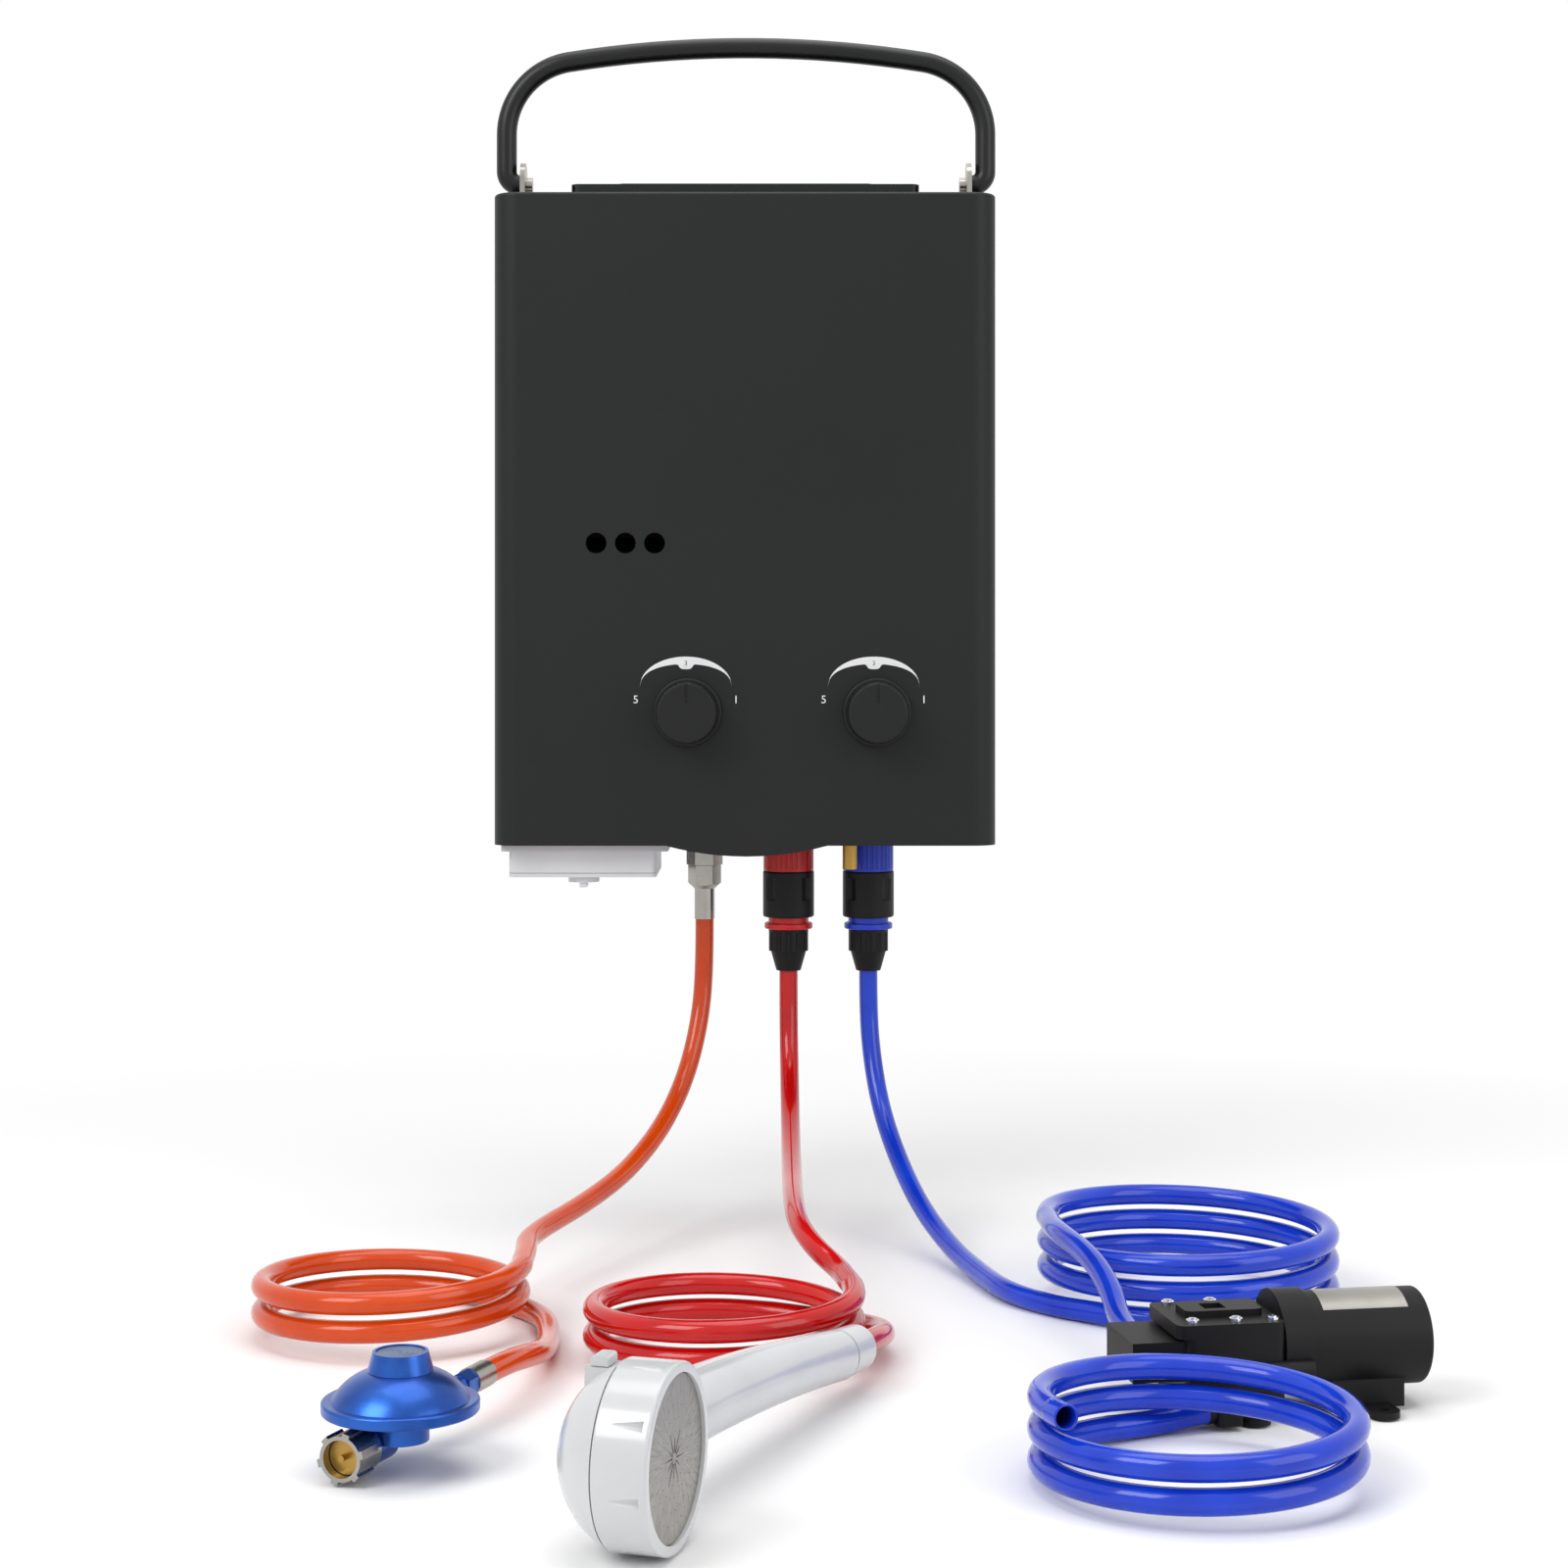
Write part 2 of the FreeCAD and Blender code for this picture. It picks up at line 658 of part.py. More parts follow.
def battery_parts():
    wall, gap = battery_wall, cover_gap
    floor = battery_low + battery_lid_thick
    box = block(battery_left, battery_right, battery_front, battery_rear, floor + gap, battery_high)
    box = round_edges(box, 4, upright)
    box = box.cut(block(battery_left + wall, battery_right - wall, battery_front + wall,
                        battery_rear - wall, floor, battery_high - wall))
    rim = block(battery_left - 4, battery_right + 7, battery_front - 3, battery_rear + 3,
                bottom_z - 4, bottom_z - gap / 2)
    rim = rim.cut(block(battery_left + wall, battery_right - wall, battery_front + wall,
                        battery_rear - wall, bottom_z - 6, bottom_z + 1))
    hinge = V(0, battery_rear + hinge_back, battery_low + hinge_up)
    ear_left, ear_right = battery_left + hinge_inset, battery_right - hinge_inset
    for outer, inner in ((battery_left + 2, ear_left), (battery_right - 2, ear_right)):
        x0, x1 = min(outer, inner), max(outer, inner)
        ear = block(x0, x1, battery_rear - wall, hinge.y + hinge_radius, hinge.z - hinge_radius, bottom_z - 4)
        sign = 1 if inner == ear_left else -1
        pin = rod(hinge_pin, 5, V(inner, hinge.y, hinge.z), V(sign, 0, 0))
        box = box.fuse(ear).fuse(pin)
    save("battery_box", box.fuse(rim).removeSplitter())
    lid = block(battery_left, battery_right, battery_front, battery_rear, battery_low, floor)
    lid = round_edges(lid, 4, upright)
    x0, x1 = ear_left + gap, ear_right - gap
    for x in (battery_left, battery_right):
        side = 1 if x == battery_left else -1
        edge = x + side * (hinge_inset + gap)
        lid = lid.cut(block(min(x, edge), max(x, edge), battery_rear - wall - hinge_sweep, battery_rear + 1,
                            battery_low - 1, floor + 1))
    tongue = block(x0, x1, battery_rear - 3, hinge.y, battery_low, floor)
    barrel = rod(hinge_radius, x1 - x0, V(x0, hinge.y, hinge.z), RIGHT)
    lid = lid.fuse(tongue).fuse(barrel).removeSplitter()
    for x, side in ((x0, 1), (x1, -1)):
        lid = lid.cut(rod(hinge_pin + 0.15, 6, V(x, hinge.y, hinge.z), V(side, 0, 0)))
    shaft = V(battery_knob_x, battery_knob_y, floor)
    lid = lid.cut(rod(knob_shaft + 0.05, 9, shaft - V(0, 0, 5)))
    save("battery_lid", lid)
    low = battery_low - battery_knob_height
    thumb = rod(battery_knob_radius, 3, V(shaft.x, shaft.y, battery_low - gap - 3))
    rib = block(shaft.x - 2, shaft.x + 2, shaft.y - 8, shaft.y + 8, low, battery_low - gap - 2)
    post = rod(knob_shaft, battery_lid_thick + gap, V(shaft.x, shaft.y, battery_low - gap))
    save("battery_knob", thumb.fuse(rib).fuse(post).removeSplitter())
    cells = []
    middle = (battery_left + battery_right) / 2
    for side in (-1, 1):
        y = (battery_front + battery_rear) / 2 + side * (cell_radius + 1.2)
        base = V(middle - cell_length / 2, y, floor + gap + cell_radius)
        cells.append(rod(cell_radius, cell_length, base, RIGHT).fuse(
            rod(4.5, 2, base + V(cell_length, 0, 0), RIGHT)).removeSplitter())
    save("battery_cells", *cells)


# Handle

def handle_parts():
    z0, y = pivot_z, handle_y
    start = ear_outer_x + side_gap
    knee = handle_half - handle_foot_bend
    leg_low = z0 + handle_foot_bend
    turn = math.radians(handle_corner_turn)
    corner_x = handle_half - handle_corner + handle_corner * math.cos(turn)
    corner_z = handle_leg_top + handle_corner * math.sin(turn)
    rise = V(math.sin(turn), 0, math.cos(turn))
    fall = V(rise.x, 0, -rise.z)
    edges = [Part.LineSegment(V(-start, y, z0), V(-knee, y, z0)).toShape(),
             arc_from(V(-knee, y, z0), V(-1, 0, 0), V(-handle_half, y, leg_low)),
             Part.LineSegment(V(-handle_half, y, leg_low), V(-handle_half, y, handle_leg_top)).toShape(),
             arc_from(V(-handle_half, y, handle_leg_top), UP, V(-corner_x, y, corner_z)),
             arc_from(V(-corner_x, y, corner_z), rise, V(corner_x, y, corner_z)),
             arc_from(V(corner_x, y, corner_z), fall, V(handle_half, y, handle_leg_top)),
             Part.LineSegment(V(handle_half, y, handle_leg_top), V(handle_half, y, leg_low)).toShape(),
             arc_from(V(handle_half, y, leg_low), DOWN, V(knee, y, z0)),
             Part.LineSegment(V(knee, y, z0), V(start, y, z0)).toShape()]
    tube = sweep(edges, handle_tube_radius)
    ears, pins = [], []
    for side in (-1, 1):
        out = V(side, 0, 0)
        tube = tube.cut(rod(pin_radius + pin_fit, 8, V(side * start, y, z0), out))
        x0, x1 = sorted((side * ear_outer_x, side * (ear_outer_x - ear_thickness)))
        low = top_z + cover_gap / 3
        plate = block(x0, x1, y - ear_radius, y + ear_radius, low, z0 + 4)
        plate = plate.fuse(rod(ear_radius, ear_thickness, V(x0, y, z0 + 4), RIGHT))
        f0, f1 = sorted((side * ear_outer_x, side * (ear_outer_x - ear_foot)))
        plate = plate.fuse(block(f0, f1, y - ear_radius, y + ear_radius, low, low + 2))
        ears.append(plate.cut(rod(pin_radius + pin_fit, 6, V(x0 - 1, y, z0), RIGHT)).removeSplitter())
        inside = side * (ear_outer_x - ear_thickness - 4)
        pin = rod(pin_radius, start + 7.6 - abs(inside), V(inside, y, z0), out)
        head = rod(4.4, 4, V(inside, y, z0), out)
        pins.append(pin.fuse(head).removeSplitter())
    save("handle_tube", tube)
    save("handle_brackets", *ears)
    save("handle_pins", *pins)


# Quick connectors and the gas inlet

def connector(prefix, x):
    base = V(x, connector_y, 0)
    nut_low = tap_nut_top - tap_nut_height
    nut = rod(tap_nut_radius, tap_nut_height, base + UP * nut_low)
    grooves = flutes(tap_nut_radius + 0.2, grip_flutes, 0.7, tap_nut_height - 3, base + UP * (nut_low + 1.5))
    nut = nut.cut(grooves)
    nut = nut.cut(rod(stub_radius, 9, base + UP * (tap_nut_top - 9)))
    nut = nut.fuse(rod(spigot_radius, spigot_length, base + UP * (nut_low - spigot_length)))
    save(prefix + "_tap_nut", nut.removeSplitter())
    low = nut_low - body_height
    body = round_edges(rod(body_radius, body_height, base + UP * low), 1.2, lambda e: len(e.Vertexes) == 1
                       and abs(e.CenterOfMass.z - low - body_height / 2) > 1)
    for i in range(4):
        angle = math.radians(45 + 90 * i)
        spot = base + V(math.cos(angle), math.sin(angle), 0) * (body_radius + 5.6)
        body = body.cut(rod(7.0, 13, spot + UP * (nut_low - 17)))
    socket_low = nut_low - spigot_length - cover_gap
    body = body.cut(rod(spigot_radius + cover_gap, spigot_length + cover_gap, base + UP * socket_low))
    body = body.cut(rod(collar_radius + release_fit, 6, base + UP * low))
    save(prefix + "_connector_body", body.removeSplitter())
    flange_low = low - collar_height - flange_height
    ring = rod(collar_radius, collar_height + 1.5, base + UP * (flange_low + flange_height))
    ring = ring.fuse(round_edges(rod(flange_radius, flange_height, base + UP * flange_low), 0.8,
                                 lambda e: len(e.Vertexes) == 1
                                 and abs(e.CenterOfMass.z - flange_low - flange_height / 2) > 1))
    ring = ring.cut(rod(core_radius + release_fit, 12, base + UP * (flange_low - 1)))
    save(prefix + "_release_ring", ring.removeSplitter())
    nut_top = flange_low - cover_gap
    nut_end = nut_top - hose_nut_height
    grip = rod(hose_nut_radius, hose_nut_height, base + UP * nut_end)
    grooves = flutes(hose_nut_radius + 0.9, hose_nut_ribs, 1.9, hose_nut_height - 1.5, base + UP * nut_end)
    grip = grip.cut(grooves)
    mouth = base + UP * (nut_end - hose_nut_taper)
    neck = Part.makeCone(hose_nut_mouth, hose_nut_radius - 1.2, hose_nut_taper, mouth)
    core = rod(core_radius, low + 6 - nut_top, base + UP * nut_top)
    save(prefix + "_hose_nut", grip.fuse(neck).fuse(core).removeSplitter())
    return nut_end - hose_nut_taper


def gas_inlet():
    base = V(gas_x, connector_y, 0)
    hex_low = nipple_hex_top - nipple_hex_height
    nipple = rod(nipple_radius, valve_bottom - nipple_hex_top, base + UP * nipple_hex_top)
    nipple = nipple.fuse(hexagon(gas_hex, nipple_hex_height, base + UP * hex_low))
    nipple = nipple.fuse(rod(nipple_radius - thread_gap, 11, base + UP * (hex_low - 11)))
    save("gas_inlet_nipple", nipple.removeSplitter())
    nut_top = hex_low - thread_gap
    nut_low = nut_top - flare_nut_height
    nut = hexagon(flare_hex, flare_nut_height, base + UP * nut_low)
    nut = nut.common(Part.makeCone(6.4, 6.4 + flare_nut_height, flare_nut_height, base + UP * nut_low))
    nut = nut.cut(rod(nipple_radius, 11, base + UP * (nut_top - 11)))
    nut = nut.cut(rod(4.2, 5, base + UP * (nut_low - 1)))
    save("gas_flare_nut", nut.removeSplitter())
    barb = rod(3.9, nut_top - 11.2 - nut_low, base + UP * nut_low)
    sleeve = rod(ferrule_radius, ferrule_height, base + UP * (nut_low - ferrule_height))
    return sleeve.fuse(barb).removeSplitter(), nut_low - ferrule_height


# Regulator

def placed(shape, spot, turn):
    moved = shape.copy()
    moved.Placement = FreeCAD.Placement(spot, FreeCAD.Rotation(UP, turn)).multiply(shape.Placement)
    return moved


def regulator_parts():
    def put(name, shape):
        save(name, placed(shape, regulator_place, regulator_turn))

    low = rim_z - rim_thickness / 2
    high = rim_z + rim_thickness / 2
    plate = round_edges(rod(rim_radius, rim_thickness / 2, V(0, 0, low)), 1,
                        lambda e: len(e.Vertexes) == 1 and abs(e.CenterOfMass.z - low) < 0.01)
    body = plate.fuse(Part.makeCone(bowl_radius, 24, 5, V(0, 0, low - 5)))
    body = body.fuse(rod(bowl_radius, bowl_drop, V(0, 0, low - bowl_drop)))
    nut_back = inlet_nut_face + inlet_nut_length
    arm_z = V(nut_back + 2 * cover_gap, inlet_offset, inlet_z)
    body = body.fuse(rod(8.8, 16, arm_z, RIGHT))
    body = body.fuse(block(arm_z.x + 3, 2, 3, inlet_offset + 5, inlet_z, low))
    body = body.fuse(rod(outlet_radius, outlet_reach - 8, V(0, 0, outlet_z), RIGHT))
    body = body.fuse(hexagon(outlet_hex, 9, V(outlet_reach - 10, 0, outlet_z), RIGHT))
    put("regulator_body", body.removeSplitter())
    bonnet = round_edges(rod(rim_radius, rim_thickness / 2, V(0, 0, rim_z)), 1,
                         lambda e: len(e.Vertexes) == 1 and abs(e.CenterOfMass.z - high) < 0.01)
    profile = [V(0, 0, high), V(rim_radius - 4, 0, high)]
    dome = Part.Arc(profile[1], V(rim_radius - 9.5, 0, high + bonnet_rise * 0.55),
                    V(cap_radius, 0, high + bonnet_rise)).toShape()
    top = V(0, 0, high + bonnet_rise)
    outline = Part.Wire([Part.LineSegment(*profile).toShape(), dome,
                         Part.LineSegment(V(cap_radius, 0, high + bonnet_rise), top).toShape(),
                         Part.LineSegment(top, profile[0]).toShape()])
    bonnet = bonnet.fuse(revolved(outline, UP))
    bonnet = bonnet.fuse(Part.makeCone(cap_radius + 0.6, cap_top_radius, cap_height, top))
    bonnet = bonnet.cut(rod(cap_top_radius - 1.2, 0.8, top + UP * (cap_height - 0.8)))
    put("regulator_bonnet", bonnet.removeSplitter())
    face = V(inlet_nut_face, inlet_offset, inlet_z)
    nut = washer(inlet_nut_radius, inlet_bore, inlet_nut_length, face, RIGHT)
    for i in range(inlet_lugs):
        lug = block(face.x, face.x + inlet_lug_length, -1.6, 1.6,
                    inlet_nut_radius - 0.8, inlet_nut_radius + 1.3)
        lug.rotate(V(0, 0, 0), RIGHT, 360 / inlet_lugs * i + 15)
        lug.translate(V(0, face.y, face.z))
        nut = nut.fuse(lug)
    put("regulator_nut", nut.removeSplitter())
    seat = face.x + 5
    nipple = rod(inlet_bore - cover_gap, arm_z.x - seat, V(seat, face.y, face.z), RIGHT)
    nipple = nipple.fuse(rod(1.3, 4, V(seat - 4, face.y, face.z), RIGHT))
    put("regulator_nipple", nipple.removeSplitter())
    ferrule = rod(ferrule_radius, 16, V(outlet_reach - 1, 0, outlet_z), RIGHT)
    return placed(ferrule, regulator_place, regulator_turn)


# Hand shower

def shower_parts():
    def put(name, shape):
        save(name, placed(shape, shower_face, shower_face_angle))

    ring = washer(ring_radius, plate_radius + cover_gap, ring_length, V(0, 0, 0), V(-1, 0, 0))
    ring = round_edges(ring, 1.2, lambda e: len(e.Vertexes) == 1 and e.Length > 6 * ring_radius)
    for i in range(8):
        wedge = Part.makeCone(0.2, 2.2, ring_length - 6, V(-ring_length + 3, 0, ring_radius + 0.6), RIGHT)
        wedge.rotate(V(0, 0, 0), RIGHT, 45 * i + 12)
        ring = ring.cut(wedge)
    put("shower_ring", ring)
    plate = rod(plate_radius, plate_thickness, V(-plate_recess, 0, 0), V(-1, 0, 0))
    centre_stud = Part.makeCone(1.6, 0.5, 0.8, V(-plate_recess, 0, 0), RIGHT)
    put("spray_plate", plate.fuse(centre_stud).removeSplitter())
    back = -ring_length - cover_gap
    tip = back - dome_length
    rim = ring_radius - 0.5
    dome_radius = (rim ** 2 + dome_length ** 2) / (2 * dome_length)
    shell = Part.makeSphere(dome_radius, V(tip + dome_radius, 0, 0))
    shell = shell.common(block(tip - 1, back, -rim - 1, rim + 1, -rim - 1, rim + 1))
    drum_length = ring_length - plate_recess - plate_thickness
    shell = shell.fuse(rod(plate_radius - 1, drum_length, V(back, 0, 0), RIGHT))
    pad = block(back - pad_length, back - cover_gap, -6.5, 6.5, 10, button_seat)
    shell = shell.fuse(pad)
    shell = shell.cut(block(back - pad_length - 2, back + 1, -6.5, 6.5, button_seat, ring_radius + 5))
    button = block(back - pad_length + 2, back - button_travel - 1, -5, 5,
                   button_seat + cover_gap, button_seat + 4.2)
    button = round_edges(button, 1.5, lambda e: abs(e.tangentAt(e.FirstParameter).y) > 0.9
                         and e.CenterOfMass.z > button_seat + 2)
    put("shower_button", button)
    shell = placed(shell, shower_face, shower_face_angle)
    turn = math.radians(shower_face_angle)
    normal = V(math.cos(turn), math.sin(turn), 0)
    root = shower_face + normal * (back - 8)
    along = (collar_centre - root).normalize()
    end = collar_centre - along * (shower_nut_length / 2 + shower_nut_gap)
    reach = (end - root).Length
    stations = ((0.0, 0.0, grip_radius + 1), (0.35, 4.0, grip_radius), (0.7, 3.5, grip_radius - 2),
                (1.0, 0.0, grip_end_radius))
    rings = [Part.Wire([Part.Circle(root + along * (reach * share) + UP * lift, along, radius).toShape()])
             for share, lift, radius in stations]
    grip = Part.makeLoft(rings, True, False)
    if grip.Volume < 0:
        grip.reverse()
    keep_out = rod(ring_radius + cover_gap, ring_length + cover_gap + 2, V(back, 0, 0), RIGHT)
    keep_out = placed(keep_out, shower_face, shower_face_angle)
    grip = grip.cut(keep_out)
    neck = rod(neck_radius, shower_nut_gap + neck_length, end, along)
    save("shower_shell", shell.fuse(grip).fuse(neck).removeSplitter())
    nut_start = end + along * shower_nut_gap
    nut = Part.makeCone(grip_end_radius - 0.2, grip_end_radius - 1.0, shower_nut_length, nut_start, along)
    nut = nut.cut(rod(neck_radius + 0.05, neck_length + cover_gap, nut_start, along))
    save("shower_collar", nut)
    finish = nut_start + along * shower_nut_length
    print("shower collar end", finish, "heading", along, "grip end", end)
    return finish, along


# Pump

def pump_parts():
    floor = floor_z

    def put(name, *shapes):
        save(name, *[placed(shape, pump_place, pump_turn) for shape in shapes])

    head_end = port_length + head_length
    housing = block(0, port_length + 1, -port_width / 2, port_width / 2, floor + port_low, floor + port_high)
    half = head_width / 2
    head = block(port_length, head_end, -half, half, floor + head_low, floor + head_split)
    housing = housing.fuse(round_edges(head, 4, upright))
    axis_z = floor + motor_axis
    housing = housing.fuse(rod(bell_radius, bell_length, V(head_end, 0, axis_z), RIGHT))
    side_rod = V(head_end - side_rod_back, -half, floor + motor_axis - 8)
    housing = housing.fuse(rod(side_rod_radius, side_rod_length, side_rod, RIGHT))
    housing = housing.fuse(rod(barb_radius, barb_length + 1,
                               V(outlet_along, port_width / 2 - 1, floor + outlet_high), REAR))
    elbow = block(inlet_along - 6, inlet_along + 6, -half - 2 * inlet_out, -half + 1,
                  floor + 1.2, floor + 13)
    housing = housing.fuse(round_edges(elbow, 2, upright))
    swing = math.radians(inlet_swing)
    housing = housing.fuse(rod(barb_radius, 8, V(inlet_along - 10, -half - inlet_out, floor + inlet_low),
                               V(math.cos(swing), math.sin(swing), 0)))
    put("pump_housing", housing.removeSplitter())
    cover = round_edges(block(port_length - 4, head_end - cover_gap, -half, half, floor + head_split,
                              floor + head_high - 3), 4, upright)
    raised = round_edges(block(port_length + 4, head_end - 6, -9, 9, floor + head_high - 4,
                               floor + head_high), 3, upright)
    cover = cover.fuse(raised)
    cover = cover.cut(block(port_length + screw_row - 10, port_length + screw_row, -5, 5,
                            floor + head_high - 2, floor + head_high + 1))
    spots = [(port_length + 4, -half + 5), (port_length + 4, half - 5), (port_length + screw_row, -half + 5),
             (port_length + screw_row, half - 5), (head_end - 5, -half + 5)]
    screws = []
    top = floor + head_high - 3
    for x, y in spots:
        cover = cover.cut(rod(pump_screw_radius, 12, V(x, y, top - 6.5)))
        screw = rod(pump_screw_radius, pump_screw_length, V(x, y, top - pump_screw_length))
        head = rod(2.9, 1.6, V(x, y, top)).fuse(rod(1.9, 2.2, V(x, y, top)))
        screws.append(screw.fuse(head).cut(rod(0.9, 1.2, V(x, y, top + 1.4))).removeSplitter())
    put("pump_cover", cover.removeSplitter())
    put("pump_screws", *screws)
    can_start = head_end + bell_length
    can = rod(motor_radius, pump_length - can_start, V(can_start, 0, axis_z), RIGHT)
    can = round_edges(can, 2, lambda e: len(e.Vertexes) == 1 and abs(e.CenterOfMass.x - pump_length) < 0.01)
    put("pump_motor", can)
    cradle = block(foot_rear - 20, foot_rear + 14, -15, 15, floor + 1, floor + motor_axis - 8)
    cradle = cradle.cut(rod(motor_radius + cover_gap / 3, 60, V(foot_rear - 30, 0, axis_z), RIGHT))
    strips = []
    for x, solid in ((foot_front, None), (foot_rear, cradle)):
        strip = block(x - foot_radius, x + foot_radius, -foot_spread, foot_spread, floor, floor + foot_height)
        for side in (-1, 1):
            strip = strip.fuse(rod(foot_radius, foot_height, V(x, side * foot_spread, floor)))
            strip = strip.cut(rod(foot_hole, 3 * foot_height, V(x, side * foot_spread, floor - 1)))
        strips.append(strip.fuse(solid).removeSplitter() if solid else strip)
    riser = block(foot_front - 5, foot_front + 5, -12, 12, floor + foot_height - 1, floor + head_low)
    strips[0] = strips[0].fuse(riser).removeSplitter()
    put("pump_base", *strips)


# Routes of the free hose, from the exit to the coil and from the coil to the far end

gas_route = [(gas_x, connector_y, -432.6), (gas_x, connector_y, -464), (-27.5, -66, -494), (-35, -82, -524),
             (-48, -112, -549), (-66, -154, -566), (-86, -202, -574), (-104, -248, -577),
             (-111, -278, -578)]
gas_coil = dict(centre=(-173.6, -332.0), radius=64.4, start=0, stop=-680, low=-580.0, high=lie_z)
gas_tail = [(-94.5, -342, -605.5), (-91, -378, -605), (-90.5, -414, -601), (-93.5, -446, -595)]
shower_route = [(hot_x, connector_y, -463.2), (hot_x, connector_y, -492), (25.8, -72, -520),
                (26.2, -100, -543), (26.6, -144, -556), (27, -196, -561.5), (27.4, -250, -562.5),
                (29.5, -296, -565.5),
                (38, -324, -572)]
shower_coil = dict(centre=(-6.2, -383.0), radius=63.3, start=10, stop=-650, low=-580.9, high=-604.6)
shower_tail = [(62, -346, -605.3), (73, -378, -601)]
supply_route = [(cold_x, connector_y, -463.2), (cold_x, connector_y, -490), (75, -66, -516),
                (79.5, -80, -542), (88, -106, -566), (100, -144, -588), (115, -190, -601.5),
                (128, -236, -605.2), (139, -276, -605.5)]
supply_coil = dict(centre=(233.3, -268.0), radius=73.4, start=230, stop=1260, low=lie_z, high=-567.2)
supply_tail = [(162, -326, -565), (172, -366, -567), (178, -400, -574.5)]
suction_coil = dict(centre=(192.1, -588.0), radius=64.8, start=120, stop=920, low=lie_z, high=-576.5)


def main():
    os.makedirs("parts", exist_ok=True)
    save("front_cover", front_cover())
    plate, tab = back_plate()
    save("back_plate", plate)
    save("hook_tab", tab)
    save("exhaust_hood", exhaust_hood())
    save("cover_screws", *cover_screws())
    save("combustion_chamber", combustion_chamber())
    save("heat_exchanger", *heat_exchanger())
    save("exchanger_tube", exchanger_tube())
    save("water_pipes", *water_pipes())
    save("burner", burner())
    save("gas_manifold", gas_manifold())
    save("gas_valve_body", valve_body(gas_knob_x, gas_valve_half, [stem_bore(gas_knob_x)]))
    save("water_valve_body", valve_body(water_knob_x, water_valve_half, [stem_bore(water_knob_x)]))
    for name, x in (("gas", gas_knob_x), ("water", water_knob_x)):
        save(name + "_knob", knob(x))
        save(name + "_stem", stem(x))
    small_parts()
    battery_parts()
    handle_parts()
    for prefix, x in (("hot", hot_x), ("cold", cold_x)):
        print(prefix, "hose start", connector(prefix, x))
    upper_ferrule, gas_start = gas_inlet()
    print("gas hose start", gas_start)
    lower_ferrule = regulator_parts()
    save("gas_hose_ferrules", upper_ferrule, lower_ferrule)
    finish, heading = shower_parts()
    pump_parts()
    turn = math.radians(pump_turn)
    along, across = V(math.cos(turn), math.sin(turn), 0), V(-math.sin(turn), math.cos(turn), 0)
    outlet = pump_place + along * outlet_along + across * (port_width / 2 + barb_length)
    outlet.z = floor_z + outlet_high
    inlet = pump_place + along * (inlet_along - 10) - across * (head_width / 2 + inlet_out)
    inlet.z = floor_z + inlet_low
    spread = math.radians(regulator_turn)
    fitting = regulator_place + V(math.cos(spread), math.sin(spread), 0) * (outlet_reach + 15)
    fitting.z = outlet_z
    back = V(math.cos(spread), math.sin(spread), 0) * lead
    ends = dict(gas=[fitting + back, fitting], shower=[finish + heading * lead, finish],
                supply=[outlet + across * lead, outlet])
    routes = dict(gas=(gas_route, gas_coil, gas_tail), shower=(shower_route, shower_coil, shower_tail),
                  supply=(supply_route, supply_coil, supply_tail))
    for name, (route, turns, tail) in routes.items():
        solid, before, after = coil(name + " coil", **turns)
        save(name + "_hose_coil", solid)
        save(name + "_hose_runs", cord_run(name + " route", route + before),
             cord_run(name + " tail", after + tail + ends[name]))
    solid, before, after = coil("suction coil", **suction_coil)
    save("suction_hose_coil", solid)
    swing = math.radians(pump_turn + inlet_swing)
    straight = inlet - V(math.cos(swing), math.sin(swing), 0) * hose / 2
    save("suction_hose_run", cord_run("suction route", [inlet, straight] + before))


main()
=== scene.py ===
import math

import bmesh
import bpy
from mathutils import Matrix, Vector


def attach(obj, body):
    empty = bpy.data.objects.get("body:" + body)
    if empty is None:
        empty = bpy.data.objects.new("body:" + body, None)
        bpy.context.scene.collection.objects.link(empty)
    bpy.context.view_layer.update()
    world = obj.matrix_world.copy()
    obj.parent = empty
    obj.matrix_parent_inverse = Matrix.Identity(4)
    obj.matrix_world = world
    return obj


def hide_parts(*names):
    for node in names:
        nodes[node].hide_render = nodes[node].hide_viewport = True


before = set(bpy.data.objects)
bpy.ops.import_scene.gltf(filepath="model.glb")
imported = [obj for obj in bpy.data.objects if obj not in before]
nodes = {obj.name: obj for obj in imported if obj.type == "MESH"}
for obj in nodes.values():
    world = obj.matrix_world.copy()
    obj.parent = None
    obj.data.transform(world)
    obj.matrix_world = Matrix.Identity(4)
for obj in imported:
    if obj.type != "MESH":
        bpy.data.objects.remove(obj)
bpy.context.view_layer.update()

MM = 0.001


# Camera, at the height and distance that the ellipses of the hose coils give

LENS = 65.25
SENSOR = 36.0
CAMERA_PLACE = (0.0226, -1.753, -0.265)
HORIZON_SHIFT = -0.09375
CAMERA_REACH = 50.0


def make_camera():
    data = bpy.data.cameras.new("camera")
    data.lens = LENS
    data.sensor_width = SENSOR
    data.shift_y = HORIZON_SHIFT
    data.clip_end = CAMERA_REACH
    camera = bpy.data.objects.new("camera", data)
    camera.location = CAMERA_PLACE
    camera.rotation_euler = (math.radians(90), 0, 0)
    bpy.context.collection.objects.link(camera)
    bpy.context.scene.camera = camera


# Materials: one small function adds a node, and each finish has its own function

BLOTCH_ENDS = (0.3, 0.7)
SMOOTHEST = 0.02
GRAIN_STRENGTH = 0.6


def linear(code):
    """The linear colour of a #rrggbb code."""
    parts = [int(code[i:i + 2], 16) / 255 for i in (1, 3, 5)]
    return tuple(p / 12.92 if p <= 0.04045 else ((p + 0.055) / 1.055) ** 2.4 for p in parts) + (1.0,)


